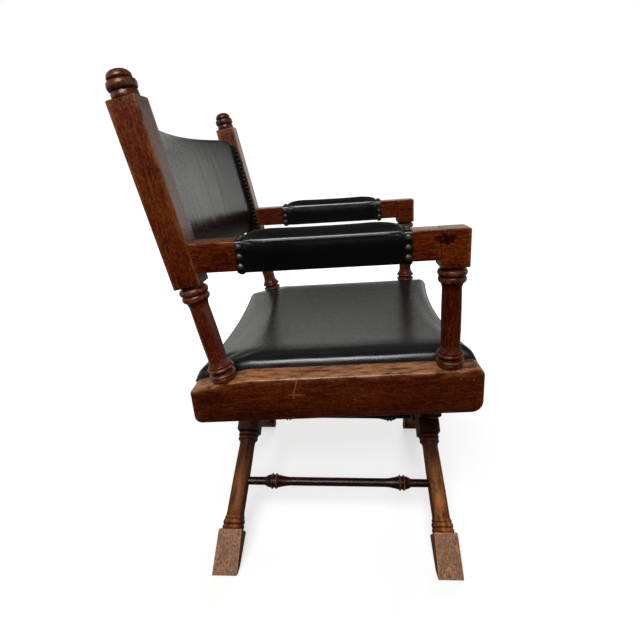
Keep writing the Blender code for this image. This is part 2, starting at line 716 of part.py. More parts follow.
def bolt_profile(length):
    """Dome-headed bolt along Z: head below zero, shank up to its length."""
    return [(-FIT_GAP - BOLT_HEAD_HEIGHT, 0.45 * BOLT_HEAD_RADIUS),
            (-FIT_GAP - 0.6 * BOLT_HEAD_HEIGHT, 0.85 * BOLT_HEAD_RADIUS),
            (-FIT_GAP, BOLT_HEAD_RADIUS), (-FIT_GAP, BOLT_RADIUS), (length, BOLT_RADIUS)]


def lay_along_y(rings, start, sense):
    """Lay rings that stand along Z in the Y direction, from a start on the Y axis."""
    return [[Vector((point.x, start + sense * point.z, sense * point.y)) for point in loop]
            for loop in rings]


def leg_planes():
    """Name, Y of the leg plane and inward sense of each end of the chair."""
    return ("front", FRONT_LEG_Y, 1.0), ("rear", REAR_LEG_Y, -1.0)


def hinge_bolts(side, hinge, steel):
    """Two bolts through the leg heads into the cleat's ends."""
    rings = turned(bolt_profile(LEG_STOCK + FIT_GAP + BOLT_REACH_IN_CLEAT))
    for end, plane, sense in leg_planes():
        shape = bmesh.new()
        loft(shape, lay_along_y(rings, plane - sense * LEG_STOCK / 2, sense))
        place(f"{side.name}_{end}_hinge_bolt", shape, steel, hinge)


def crossing_hardware(steel):
    """Bolts through the half-laps, heads outward, each with a round cap nut inside."""
    seat_at = LEG_STOCK + FIT_GAP
    threaded = 0.7 * NUT_HEIGHT
    bore = BOLT_RADIUS + BORE_GAP
    bolt = turned(bolt_profile(seat_at + threaded))
    nut = turned([(seat_at + threaded + BORE_GAP, bore), (seat_at, bore), (seat_at, bore + NUT_WALL),
                  (seat_at + threaded, bore + NUT_WALL), (seat_at + NUT_HEIGHT, 0.5 * bore + NUT_WALL)])
    for end, plane, sense in leg_planes():
        for name, rings in (("bolt", bolt), ("nut", nut)):
            shape = bmesh.new()
            loft(shape, lay_along_y(rings, plane - sense * LEG_STOCK / 2, sense))
            place(f"{end}_crossing_{name}", shape, steel, None, (0.0, 0.0, CROSSING_HEIGHT))


def leg_rings():
    """Rings of a leg along its axis, zero at the crossing, foot below and head above."""
    half = LEG_STOCK / 2
    foot_top = FOOT_LENGTH - LOWER_LEG
    foot = [ring(-LOWER_LEG - LEG_STOCK, half, half + FOOT_FLARE, True), ring(foot_top, half, half, True)]
    low = bead_stack(foot_top, 1.0, LEG_FOOT_BEADS, LEG_RING_ROOT, LEG_COVE, LEG_SHAFT_FOOT_RADIUS)
    below = bead_stack(-BLOCK_HALF, -1.0, LEG_BLOCK_BEADS, LEG_RING_ROOT, LEG_COVE, LEG_SHAFT_TOP_RADIUS)
    block = [ring(-BLOCK_HALF, half, half, True), ring(BLOCK_HALF, half, half, True)]
    above = bead_stack(BLOCK_HALF, 1.0, LEG_BLOCK_BEADS, LEG_RING_ROOT, LEG_COVE, LEG_SHAFT_TOP_RADIUS)
    head_start = UPPER_LEG - LEG_HEAD_LENGTH
    neck = [(head_start - LEG_COVE, LEG_SHAFT_TOP_RADIUS), (head_start, LEG_RING_ROOT)]
    head = [ring(head_start, LEG_HEAD_RADIUS, half, True)]
    for step in range(6):
        angle = math.radians(75.0) * step / 5
        head.append(ring(UPPER_LEG + LEG_HEAD_RADIUS * math.sin(angle), LEG_HEAD_RADIUS * math.cos(angle),
                         half, True))
    return foot + turned(low + below[::-1]) + block + turned(above + neck) + head


def splay(points, outward):
    """Carry the points below the crossing block outward, and those of the foot further out."""
    for point in points:
        point.y += outward * LEG_SPLAY * max(0.0, -point.z - BLOCK_HALF)
        point.y += outward * FOOT_KICK * max(0.0, -point.z - LOWER_LEG + FOOT_LENGTH)
    return points


def lap_outline():
    """Outline (across, along) of the half-lap: slanted shoulders clear the other leg, open or folded."""
    middle = (LAP_FOLDED_REACH + LAP_OPEN_REACH) / 2
    slant = (LAP_FOLDED_REACH - LAP_OPEN_REACH) / LEG_STOCK
    reach = LEG_STOCK
    near, far = middle - slant * reach, middle + slant * reach
    return [(-reach, -near), (reach, -far), (reach, near), (-reach, far)]


def trim_foot(shape):
    """Cut the foot level with the floor, wedge its outer face and leave a low upright nose."""
    across = Vector((math.sin(LEG_ANGLE), 0.0, -math.cos(LEG_ANGLE)))
    along = Vector((math.cos(LEG_ANGLE), 0.0, math.sin(LEG_ANGLE)))

    def local(vector):
        return Vector((vector.dot(across), vector.y, vector.dot(along)))

    crossing = Vector((0.0, 0.0, CROSSING_HEIGHT))
    toe = Vector((-TOE_REACH, 0.0, 0.0))
    nose = toe + Vector((0.0, 0.0, TOE_NOSE))
    slope = Vector((-math.sin(TOE_ANGLE), 0.0, math.cos(TOE_ANGLE)))
    for point, normal in ((toe, Vector((0.0, 0.0, -1.0))), (toe, Vector((-1.0, 0.0, 0.0))), (nose, slope)):
        geometry = shape.verts[:] + shape.edges[:] + shape.faces[:]
        bmesh.ops.bisect_plane(shape, geom=geometry, dist=1e-7, plane_co=local(point - crossing),
                               plane_no=local(normal), clear_outer=True)
        bmesh.ops.holes_fill(shape, edges=[edge for edge in shape.edges if edge.is_boundary])


def leg(side, end, plane, outward, wood):
    """One leg: wedge foot, turned shaft, half-lapped block and rounded head.

    The right-foot legs keep the inner half of the lap and the left-foot legs the outer half.
    """
    shape = bmesh.new()
    loft(shape, [splay(points, outward) for points in leg_rings()])
    trim_foot(shape)
    if side is LEFT:
        bmesh.ops.scale(shape, vec=(-1.0, 1.0, 1.0), verts=shape.verts)
    swing = -side.sign * (math.pi / 2 - LEG_ANGLE)
    piece = place(f"{end}_{side.name}_leg", shape, wood, None, (0.0, plane, CROSSING_HEIGHT),
                  (0.0, swing, 0.0))

    half = LEG_STOCK / 2
    removed = outward if side is RIGHT else -outward
    lap = bmesh.new()
    loft(lap, [[Vector((-side.sign * x, y, z)) for x, z in lap_outline()]
               for y in (-removed * LAP_GAP / 2, removed * LEG_STOCK)])
    combine(piece, lap, "lap")

    bores = bmesh.new()
    for station in (0.0, UPPER_LEG):
        rod(bores, (0.0, -LEG_STOCK, station), (0.0, LEG_STOCK, station), BOLT_RADIUS + BORE_GAP)
    station = STRETCHER_FROM_FLOOR - LOWER_LEG
    middle = outward * LEG_SPLAY * (-station - BLOCK_HALF)
    tip = stretcher_shoulder() - STRETCHER_TENON_DEPTH - BORE_GAP
    rod(bores, (0.0, middle - outward * tip, station), (0.0, middle - outward * half, station),
        STRETCHER_TENON_RADIUS + BORE_GAP)
    combine(piece, bores, "bores")


def stretcher_shoulder():
    """Distance from the leg's axis to the stretcher's shoulder, clear of the leg's tapered shaft."""
    low = FOOT_LENGTH + stack_length(LEG_FOOT_BEADS) + LEG_COVE
    high = LOWER_LEG - BLOCK_HALF - stack_length(LEG_BLOCK_BEADS) - LEG_COVE
    share = (STRETCHER_FROM_FLOOR - low) / (high - low)
    shaft = LEG_SHAFT_FOOT_RADIUS + (LEG_SHAFT_TOP_RADIUS - LEG_SHAFT_FOOT_RADIUS) * share
    return shaft + FIT_GAP + LEG_SPLAY * STRETCHER_END_RADIUS


def stretcher(side, wood):
    """Turned rail between the front and rear leg of one pair of feet, tenoned into both."""
    down = LOWER_LEG - STRETCHER_FROM_FLOOR
    shift = LEG_SPLAY * (down - BLOCK_HALF)
    depth = STRETCHER_TENON_DEPTH
    front_axis, rear_axis = FRONT_LEG_Y - shift, REAR_LEG_Y + shift
    length = rear_axis - front_axis
    shoulder = stretcher_shoulder()
    half = length / 2
    bulb = half - shoulder - STRETCHER_BULB_INSET
    profile = [(-half + shoulder - depth, STRETCHER_TENON_RADIUS),
               (-half + shoulder, STRETCHER_TENON_RADIUS), (-half + shoulder, STRETCHER_END_RADIUS)]
    profile += stretcher_bulb(-bulb, 1.0)
    profile += stretcher_bulb(bulb, -1.0)[::-1]
    profile += [(half - shoulder, STRETCHER_END_RADIUS), (half - shoulder, STRETCHER_TENON_RADIUS),
                (half - shoulder + depth, STRETCHER_TENON_RADIUS)]
    shape = bmesh.new()
    loft(shape, lay_along_y(turned(profile), 0.0, 1.0))
    x = side.sign * down * math.cos(LEG_ANGLE)
    z = CROSSING_HEIGHT - down * math.sin(LEG_ANGLE)
    place(f"{side.name}_stretcher", shape, wood, None, (x, (front_axis + rear_axis) / 2, z))


def stretcher_bulb(centre, sense):
    """Swelling with two sharp rings; sense points to the stretcher's middle."""
    half = STRETCHER_BULB_LENGTH / 2
    quarter = STRETCHER_RING_LENGTH / 2
    rings = [(-half, STRETCHER_END_RADIUS), (-2 * quarter, STRETCHER_BULB_RADIUS),
             (-quarter, STRETCHER_RING_RADIUS), (0.0, STRETCHER_BULB_RADIUS),
             (quarter, STRETCHER_RING_RADIUS), (2 * quarter, STRETCHER_BULB_RADIUS),
             (half, STRETCHER_RADIUS)]
    return [(centre + sense * along, radius) for along, radius in rings]


def seat(frame, leather):
    """Leather seat between the rails: rolled edges, hollowed front edge, sagging middle, ramped rear."""
    def plan(s, t):
        front = SEAT_FRONT - SEAT_SCALLOP * (1.0 - s * s)
        rear = SEAT_REAR + SEAT_REAR_BULGE * (1.0 - s ** 4)
        return s * SEAT_HALF, -front + (rear + front) * t

    def sag(s, t):
        return SEAT_SAG * (1.0 - s * s)

    def top(s, t):
        x, y = plan(s, t)
        edge = (1.0 - abs(s)) * SEAT_HALF
        end = min(t, 1.0 - t) * (SEAT_FRONT + SEAT_REAR)
        height = SEAT_PROUD + SEAT_CROWN * roll(edge, SEAT_ROLL) * roll(end, SEAT_ROLL)
        return Vector((x, y, height - sag(s, t) - min(ramp_drop(y), ramp_drop(RAIL_REAR))))

    def underside(s, t):
        x, y = plan(s, t)
        return Vector((x, y, -SEAT_DEPTH - sag(s, t)))

    shape = bmesh.new()
    grid_solid(shape, top, underside, SEAT_CELLS, SEAT_CELLS)
    place("seat", shape, leather, frame, (0.0, 0.0, RAIL_TOP_ABOVE_HINGE))


def seat_batten(side, frame, wood):
    """Strip on the rail's inner face under the seat's edge."""
    shape = bmesh.new()
    outside = INNER_FACE - FIT_GAP - HINGE_X
    faces = sorted((side.sign * outside, side.sign * (outside - BATTEN_WIDTH)))
    near_edge = 1.0 - BATTEN_WIDTH / SEAT_HALF
    top = -SEAT_DEPTH - SEAT_SAG * (1.0 - near_edge ** 2) - FIT_GAP
    box(shape, (faces[0], -SEAT_FRONT + BATTEN_END_INSET, top - BATTEN_HEIGHT),
        (faces[1], SEAT_REAR - BATTEN_END_INSET, top))
    place(f"{side.name}_seat_batten", shape, wood, frame, (0.0, 0.0, RAIL_TOP_ABOVE_HINGE))


def back(lean, leather):
    """Leather back between the rear posts: hollow across, plump, with rounded corners."""
    def outline(s, t):
        from_side = (1.0 - abs(s)) * BACK_HALF
        corner = BACK_CORNER * (1.0 - roll(from_side, BACK_CORNER))
        first = BACK_TOP_DROP + BACK_TOP_DIP * (1.0 - s * s) + corner
        last = BACK_BOTTOM_DROP - corner
        return s * BACK_HALF, first + (last - first) * t

    def fore(s):
        return BACK_EDGE_FORE - BACK_HOLLOW * (1.0 - s * s)

    def plump(s, t):
        return BACK_PLUMP * (1.0 - s ** 4) * roll(min(t, 1.0 - t) * 4.0, 1.0)

    def front(s, t):
        x, drop = outline(s, t)
        return Vector((x, -fore(s) - 0.4 * plump(s, t), REAR_POST_TOP - drop))

    def rear(s, t):
        x, drop = outline(s, t)
        return Vector((x, -fore(s) + BACK_EDGE_DEPTH + 0.6 * plump(s, t), REAR_POST_TOP - drop))

    shape = bmesh.new()
    grid_solid(shape, front, rear, BACK_CELLS_ACROSS, BACK_CELLS_DOWN)
    place("back", shape, leather, lean)


def lean_carrier(name, frame, x):
    """Empty on the rail's ramp that leans back with the rear post."""
    foot = rear_post_seat()
    return empty(name, frame, (x, -foot.x, RAIL_TOP_ABOVE_HINGE + foot.y), -REAR_POST_LEAN)


def side_frame(side, wood, leather, brass, steel):
    """Everything that stays with one rail."""
    hinge = empty(f"{side.name}_hinge", None, (side.sign * HINGE_X, 0.0, HINGE_HEIGHT))
    frame = empty(f"{side.name}_frame", hinge, (0.0, FRAME_DATUM_Y, 0.0), -FRAME_TILT)
    lean = lean_carrier(f"{side.name}_lean", frame, side.sign * (POST_X - HINGE_X))
    side_rail(side, frame, wood)
    front_post(side, frame, wood)
    rear_post(side, lean, wood)
    finial(side, lean, wood)
    arm(side, frame, wood)
    arm_dowels(side, frame, wood)
    arm_pad(side, frame, leather)
    arm_nails(side, frame, brass)
    back_nails(side, lean, brass)
    hinge_cleat(side, hinge, wood)
    cleat_screws(side, hinge, steel)
    hinge_bolts(side, hinge, steel)
    seat_batten(side, frame, wood)


def main():
    """Build the chair, open."""
    for old in list(bpy.data.objects):
        bpy.data.objects.remove(old, do_unlink=True)
    wood = finish_material("mahogany", (0.19, 0.055, 0.022), 0.38)
    leather = finish_material("black_leather", (0.012, 0.013, 0.013), 0.28)
    brass = finish_material("aged_brass", (0.16, 0.11, 0.055), 0.42, 1.0)
    steel = finish_material("dark_steel", (0.22, 0.21, 0.20), 0.45, 1.0)

    for side in (RIGHT, LEFT):
        side_frame(side, wood, leather, brass, steel)
    for side in (RIGHT, LEFT):
        leg(side, "front", FRONT_LEG_Y, -1.0, wood)
        leg(side, "rear", REAR_LEG_Y, 1.0, wood)
        stretcher(side, wood)
    crossing_hardware(steel)

    middle = empty("middle_frame", None, (0.0, FRAME_DATUM_Y, HINGE_HEIGHT), -FRAME_TILT)
    seat(middle, leather)
    back(lean_carrier("middle_lean", middle, 0.0), leather)


main()
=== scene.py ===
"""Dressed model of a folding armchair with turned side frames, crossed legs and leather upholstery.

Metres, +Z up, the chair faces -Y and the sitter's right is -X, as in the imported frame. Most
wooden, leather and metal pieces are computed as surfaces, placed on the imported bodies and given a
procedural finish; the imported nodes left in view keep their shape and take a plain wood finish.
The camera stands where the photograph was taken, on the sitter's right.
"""
import logging
import math
from dataclasses import dataclass, field, replace
from enum import Enum

import bmesh
import bpy
import numpy as np
from mathutils import Matrix, Vector


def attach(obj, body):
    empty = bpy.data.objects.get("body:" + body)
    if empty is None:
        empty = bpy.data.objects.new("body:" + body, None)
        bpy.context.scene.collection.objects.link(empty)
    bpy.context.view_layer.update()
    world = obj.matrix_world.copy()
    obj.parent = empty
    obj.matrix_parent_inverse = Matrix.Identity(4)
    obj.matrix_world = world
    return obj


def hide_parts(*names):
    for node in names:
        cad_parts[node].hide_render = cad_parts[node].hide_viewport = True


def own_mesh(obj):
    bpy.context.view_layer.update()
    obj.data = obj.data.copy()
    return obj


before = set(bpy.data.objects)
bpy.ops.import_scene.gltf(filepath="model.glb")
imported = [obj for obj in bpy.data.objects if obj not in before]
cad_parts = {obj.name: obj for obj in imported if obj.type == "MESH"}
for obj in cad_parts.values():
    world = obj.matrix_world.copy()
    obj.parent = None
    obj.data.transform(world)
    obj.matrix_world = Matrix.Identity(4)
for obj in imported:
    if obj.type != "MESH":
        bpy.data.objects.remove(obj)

LOG = logging.getLogger("armchair")
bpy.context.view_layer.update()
Array = np.ndarray
Material = bpy.types.Material
Piece = bpy.types.Object
Socket = bpy.types.NodeSocket
Tree = bpy.types.NodeTree
Colour = tuple[float, float, float]
Place = tuple[float, float, float]
Span = tuple[float, float]
Profile = list[tuple[float, float]]
Beads = tuple[tuple[float, float], ...]
Stroke = tuple[Place, Place, float, bool]
WHITE = (1.0, 1.0, 1.0)
GRAIN_REACH = 3.0
ALL_SMOOTH = 180.0
TURNED_SHARP = 38.0
HEAD_SHARP = 50.0
PAD_SHARP = 60.0


class Side(Enum):
    """Sitter's side: its label in node names, the sign of its X and the place of its seeds."""

    RIGHT = ("right", -1.0, 0)
    LEFT = ("left", 1.0, 1)

    def __init__(self, label: str, sign: float, number: int) -> None:
        """Keep the three under their names."""
        self.label, self.sign, self.number = label, sign, number


class End(Enum):
    """Front or rear: its label in node names, the Y of its leg plane and the outward sense along Y."""

    FRONT = ("front", -0.2384, -1.0)
    REAR = ("rear", 0.1724, 1.0)

    def __init__(self, label: str, plane: float, outward: float) -> None:
        """Keep the three under their names."""
        self.label, self.plane, self.outward = label, plane, outward


class GrainSource(Enum):
    """Where a wood finish reads its grain coordinates."""

    ATTRIBUTE = "grain"
    OBJECT = "object"


@dataclass(frozen=True)
class ChairSizes:
    """Sizes shared by several sub-assemblies."""

    outer_face: float = 0.283
    inner_face: float = 0.239
    hinge_x: float = 0.2165
    hinge_height: float = 0.3884
    datum_y: float = -0.0436
    tilt: float = math.radians(3.3)
    rail_top: float = 0.0612
    stock: float = 0.0425
    rail_rear: float = 0.248
    ramp_length: float = 0.090
    rear_post_behind: float = 0.195
    lean: float = math.radians(10.0)
    turned_length: float = 0.1654
    block_height: float = 0.0571
    rear_square: float = 0.2675
    front_post_ahead: float = 0.1745
    arm_depth: float = 0.044
    leg_angle: float = math.radians(38.0)
    leg_stock: float = 0.047
    fold_limit: float = math.radians(27.0)
    gap: float = 0.0003

    @property
    def post_x(self) -> float:
        """Distance of the posts' axes from the middle."""
        return self.outer_face - self.stock / 2

    @property
    def arm_top(self) -> float:
        """Height of the arm's top above the rail's top."""
        return self.turned_length + self.block_height

    @property
    def arm_bottom(self) -> float:
        """Height of the arm's underside above the rail's top."""
        return self.arm_top - self.arm_depth

    @property
    def rear_post_top(self) -> float:
        """Length of the rear post above the ramp."""
        return self.turned_length + self.rear_square

    @property
    def crossing_height(self) -> float:
        """Height of the crossing bolts above the floor."""
        return self.hinge_height - self.hinge_x * math.tan(self.leg_angle)

    @property
    def upper_leg(self) -> float:
        """Length of a leg from the crossing bolt to its hinge bolt."""
        return self.hinge_x / math.cos(self.leg_angle)

    @property
    def folded_share(self) -> float:
        """Distance between the rails when folded, as a share of that when open."""
        folded_x = self.upper_leg * math.cos(self.leg_angle + self.fold_limit)
        return (folded_x + self.inner_face - self.hinge_x) / self.inner_face


SIZES = ChairSizes()
# Seeds of the grain and of the nails, for right and left; pad nails have front and rear.
SEEDS: dict[str, tuple[int, int]] = {
    "rail": (16, 15), "front_post": (25, 24), "rear_post": (35, 34), "finial": (46, 45), "arm": (56, 55),
    "front_leg": (80, 81), "rear_leg": (84, 85), "stretcher": (88, 89), "pad_nails": (60, 61),
    "back_nails": (70, 70), "back_strip": (75, 75)}


@dataclass(frozen=True)
class Carrier:
    """Rigid frame that carries local points into the chair's frame."""

    matrix: Array

    @staticmethod
    def at(location: Place, turn_x: float = 0.0, turn_y: float = 0.0,
           parent: "Carrier | None" = None) -> "Carrier":
        """Make a carrier.

        Args:
            location: Origin in the parent's frame.
            turn_x: Turn about X, in radians.
            turn_y: Turn about Y, in radians, used instead of the turn about X.
            parent: Carrier that this one sits on.

        Returns:
            The new carrier.
        """
        turn = Matrix.Rotation(turn_y, 4, "Y") if turn_y else Matrix.Rotation(turn_x, 4, "X")
        matrix = np.array(Matrix.Translation(location) @ turn)
        return Carrier(parent.matrix @ matrix if parent else matrix)

    def points(self, local: Array) -> Array:
        """Points in the chair's frame, from local ones whose last axis is XYZ."""
        return local @ self.matrix[:3, :3].T + self.matrix[:3, 3]

    def vectors(self, local: Array) -> Array:
        """Directions in the chair's frame, from local ones."""
        return local @ self.matrix[:3, :3].T


def side_carrier(x: float) -> Carrier:
    """Side frame's carrier at an X: origin on the rail's top, laid back, -Y ahead along the rail."""
    base = Carrier.at((x, SIZES.datum_y, SIZES.hinge_height), turn_x=-SIZES.tilt)
    return Carrier.at((0.0, 0.0, SIZES.rail_top), parent=base)


def lean_carrier(x: float) -> Carrier:
    """Carrier of the rear post: origin where its axis meets the rail's ramp, leaning back.

    Args:
        x: X of the carrier's origin.

    Returns:
        Carrier whose Z runs up the rear post.
    """
    slope = math.tan(SIZES.lean)
    drop = (SIZES.rear_post_behind - SIZES.rail_rear + SIZES.ramp_length) * slope / (1.0 + slope ** 2)
    foot = (0.0, SIZES.rear_post_behind - drop * slope, -drop)
    return Carrier.at(foot, turn_x=-SIZES.lean, parent=side_carrier(x))


def place_object(name: str, data: bpy.types.ID) -> Piece:
    """Link a new object into the scene.

    Args:
        name: Object name.
        data: Its mesh, light or camera.

    Returns:
        The object, at the origin.
    """
    made = bpy.data.objects.new(name, data)
    bpy.context.collection.objects.link(made)
    return made


def quads_between(numbers: Array) -> list[list[int]]:
    """Quads between the neighbouring rows and columns of a grid of point numbers, as lists."""
    corners = (numbers[:-1, :-1], numbers[:-1, 1:], numbers[1:, 1:], numbers[1:, :-1])
    return np.stack(corners, axis=-1).reshape(-1, 4).tolist()


@dataclass
class Skin:
    """Growing mesh made of grids, with grain coordinates and wear masks for each point.

    The masks hold worn edges, dirt with painted shade, bare wood and golden wear with painted light on tops,
    each from 0 to 1.
    """

    name: str
    seed: int = 0
    verts: list[Array] = field(default_factory=list)
    grain: list[Array] = field(default_factory=list)
    masks: list[Array] = field(default_factory=list)
    faces: list[list[int]] = field(default_factory=list)
    flat: list[bool] = field(default_factory=list)
    count: int = 0

    def add(self, points: Array, grain: Array, masks: Array, faces: list[list[int]]) -> None:
        """Add loose points and smooth faces.

        Args:
            points: Points (n, 3) in the chair's frame.
            grain: Grain coordinates (n, 3), the fibres along their third axis.
            masks: Masks (n, 4).
            faces: Lists of point numbers, counted from these points.
        """
        offset = np.random.default_rng(self.seed).uniform(-GRAIN_REACH, GRAIN_REACH, 3)
        self.verts.append(points)
        self.grain.append(grain + offset)
        self.masks.append(masks)
        self.faces += [[index + self.count for index in face] for face in faces]
        self.flat += [False] * len(faces)
        self.count += len(points)

    def add_grid(self, points: Array, grain: Array, masks: Array) -> None:
        """Add a tube as quads: the last column joins the first, and flat faces close both end rows.

        Args:
            points: Points (rows, columns, 3) in the chair's frame.
            grain: Grain coordinates of the same shape.
            masks: Masks (rows, columns, 4).
        """
        numbers = np.arange(points.shape[0] * points.shape[1]).reshape(points.shape[:2])
        closed = np.concatenate([numbers, numbers[:, :1]], axis=1)
        start = self.count
        self.add(points.reshape(-1, 3), grain.reshape(-1, 3), masks.reshape(-1, 4), quads_between(closed))
        self.faces += [(start + numbers[0, ::-1]).tolist(), (start + numbers[-1]).tolist()]
        self.flat += [True, True]

    def build(self, material: Material, sharp: float = 40.0) -> Piece:
        """Make the object.

        Args:
            material: Finish of the whole piece.
            sharp: Angle in degrees above which an edge stays crisp.

        Returns:
            The new object, with faces turned outward.
        """
        mesh = bpy.data.meshes.new(self.name)
        mesh.from_pydata(np.concatenate(self.verts).tolist(), [], self.faces)
        mesh.attributes.new("grain", "FLOAT_VECTOR", "POINT").data.foreach_set(
            "vector", np.concatenate(self.grain).astype(np.float32).ravel())
        mesh.attributes.new("masks", "FLOAT_COLOR", "POINT").data.foreach_set(
            "color", np.clip(np.concatenate(self.masks), 0.0, 1.0).astype(np.float32).ravel())
        mesh.polygons.foreach_set("use_smooth", ~np.array(self.flat))
        shape = bmesh.new()
        shape.from_mesh(mesh)
        bmesh.ops.recalc_face_normals(shape, faces=shape.faces)
        shape.to_mesh(mesh)
        shape.free()
        mesh.set_sharp_from_angle(angle=math.radians(sharp))
        mesh.materials.append(material)
        return place_object(self.name, mesh)


def stand_in(piece: Piece, body: str, node: str) -> None:
    """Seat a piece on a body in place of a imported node.

    Args:
        piece: The finished piece.
        body: Body that it moves with.
        node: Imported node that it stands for.
    """
    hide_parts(node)
    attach(piece, body)
    LOG.info("%s: %d faces, rides on %s", piece.name, len(piece.data.polygons), body)


def smooth_rows(values: Array, along: Array, width: float) -> Array:
    """Average of a profile over a window of its length.

    Args:
        values: Radius at each row.
        along: Place of each row along the axis.
        width: Window's standard deviation.

    Returns:
        Smoothed radius at each row.
    """
    spread = np.exp(-0.5 * ((along[:, None] - along[None, :]) / width) ** 2)
    weights = spread * np.abs(np.gradient(along))[None, :] + 1e-9
    return (weights * values[None, :]).sum(1) / weights.sum(1)


def revolved(radius: Array, height: Array, around: int) -> Array:
    """Profile turned about Z.

    Args:
        radius: Radius of each ring.
        height: Height of each ring.
        around: Points on each ring.

    Returns:
        Points (rings, around, 3).
    """
    angle = np.linspace(0.0, 2 * math.pi, around, endpoint=False)
    return np.stack([radius[:, None] * np.cos(angle), radius[:, None] * np.sin(angle),
                     np.broadcast_to(height[:, None], (len(radius), around))], axis=-1)


def square_outline() -> Array:
    """Outline of a square of half-width one with rounded corners, points even in angle on the flats.

    Returns:
        Points (n, 2), anticlockwise from the +X flat.
    """
    corner, flats, arcs = 0.09, 11, 5
    reach = math.atan(1.0 - corner)
    rise = np.tan(np.linspace(-reach, reach, flats))
    turn = np.linspace(0.0, math.pi / 2, arcs + 2)[1:-1]
    side = np.stack([np.ones(flats), rise], axis=1)
    bend = (1.0 - corner) + corner * np.stack([np.cos(turn), np.sin(turn)], axis=1)
    quarter = np.concatenate([side, bend])
    quarters = []
    for step in range(4):
        c, s = math.cos(step * math.pi / 2), math.sin(step * math.pi / 2)
        quarters.append(quarter @ np.array([[c, s], [-s, c]]))
    return np.concatenate(quarters)


@dataclass
class Spindle:
    """Turned and square lengths of one stick, as rows along its axis.

    Each row holds its place, half-widths across X and Y, a shift along Y and how square it is.
    """

    rows: list[tuple[float, float, float, float, float]] = field(default_factory=list)
    wear_window: float = 0.0045
    wear_rise: float = 0.0016
    bead_wear: float = 0.55
    corner_width: float = 0.035

    def turned(self, profile: Profile) -> "Spindle":
        """Append round rows, from pairs of place and radius, and return this spindle."""
        self.rows += [(along, radius, radius, 0.0, 0.0) for along, radius in profile]
        return self

    def square(self, along: float, half_x: float, half_y: float, shift: float = 0.0) -> "Spindle":
        """Append one square row, shifted along Y, and return this spindle."""
        self.rows.append((along, half_x, half_y, shift, 1.0))
        return self

    def grid(self, dusk: float = 0.0) -> tuple[Array, Array]:
        """Points and masks of the spindle.

        The surface is the product of two parameters: the row along the axis and the place around
        the outline. A row's points are its half-widths times a unit circle, or times a unit
        square with rounded corners. Rows that stand proud of their smoothed neighbourhood are
        worn, rows that lie below it hold grime, and the corners of square rows are worn too.

        Args:
            dusk: Extra darkening over the whole of the turned rows.

        Returns:
            Local points (rows, columns, 3) and masks (rows, columns, 4).
        """
        along, half_x, half_y, shift, squareness = np.array(self.rows).T
        outline = square_outline()
        circle = outline / np.linalg.norm(outline, axis=1, keepdims=True)
        unit = circle[None] + squareness[:, None, None] * (outline - circle)[None]
        points = np.stack([unit[..., 0] * half_x[:, None], unit[..., 1] * half_y[:, None] + shift[:, None],
                           np.broadcast_to(along[:, None], unit.shape[:2])], axis=-1)
        mean = smooth_rows(half_x, along, self.wear_window)
        proud = np.clip((half_x - mean) / self.wear_rise, -1.0, 1.0)
        angle = np.arctan2(circle[:, 1], circle[:, 0])
        corner = np.exp(-np.abs(np.abs((angle / (math.pi / 2)) % 1.0 - 0.5)) / self.corner_width)
        masks = np.zeros(points.shape[:2] + (4,))
        masks[..., 0] = np.maximum(np.clip(proud, 0, 1)[:, None] * self.bead_wear * (1 - squareness[:, None]),
                                   corner[None] * squareness[:, None])
        masks[..., 1] = np.maximum(np.clip(-proud, 0, 1), dusk * (1 - squareness))[:, None]
        return points, masks


def bead_rows(start: float, sense: float, beads: Beads, root: float, cove: float, shaft: float) -> Profile:
    """Profile of half-round beads in a row, then a hollow cove down to the shaft.

    A bead's place runs with the cosine of one angle and its rise with a power of the sine, a
    little fuller than half an ellipse. The cove is a quarter ellipse.

    Args:
        start: Place of the first bead's edge.
        sense: +1 or -1 along the axis.
        beads: Length and crown radius of each bead.
        root: Radius in the grooves.
        cove: Length of the cove.
        shaft: Radius of the shaft.

    Returns:
        Pairs of place and radius.
    """
    angle = np.linspace(0.0, math.pi, 13)
    profile: Profile = []
    along = start
    for length, crown in beads:
        place = along + sense * length * (0.5 - 0.5 * np.cos(angle))
        radius = root + (crown - root) * np.sin(angle) ** 0.8
        profile += list(zip(place.tolist(), radius.tolist()))[:-1]
        along += sense * length
    step = np.linspace(0.0, 1.0, 8)
    place = along + sense * cove * step
    radius = shaft + (root - shaft) * (1.0 - np.sin(step * math.pi / 2))
    return profile + list(zip(place.tolist(), radius.tolist()))


def shaft_rows(start: Span, end: Span, belly: float) -> Profile:
    """Slightly bellied shaft between two rows, ends left out.

    Args:
        start: First place and radius.
        end: Last place and radius.
        belly: Extra radius in the middle.

    Returns:
        Pairs of place and radius.
    """
    step = np.linspace(0.0, 1.0, 26)[1:-1]
    place = start[0] + (end[0] - start[0]) * step
    radius = start[1] + (end[1] - start[1]) * step + belly * np.sin(math.pi * step)
    return list(zip(place.tolist(), radius.tolist()))


def rounded_outline(corners: list[tuple[float, float, float]], steps: int = 8) -> Array:
    """Closed outline whose corners are replaced by arcs.

    Args:
        corners: Ahead, up and radius of each corner, anticlockwise.
        steps: Points on each arc.

    Returns:
        Points (n, 2).
    """
    places = np.array([corner[:2] for corner in corners])
    outline: list[Array] = []
    for index, (u, w, radius) in enumerate(corners):
        here = np.array((u, w))
        before = places[index - 1] - here
        after = places[(index + 1) % len(places)] - here
        before, after = before / np.linalg.norm(before), after / np.linalg.norm(after)
        half = math.acos(float(np.clip(before @ after, -1.0, 1.0))) / 2
        middle = (before + after) / np.linalg.norm(before + after)
        centre = here + middle * radius / math.sin(half)
        reach = math.pi / 2 - half
        swing = np.linspace(-reach, reach, steps)[:, None]
        across = np.array((-middle[1], middle[0]))
        across = across * (1.0 if across @ after > 0 else -1.0)
        outline.append(centre - radius * middle * np.cos(swing) + radius * across * np.sin(swing))
    return np.concatenate(outline)


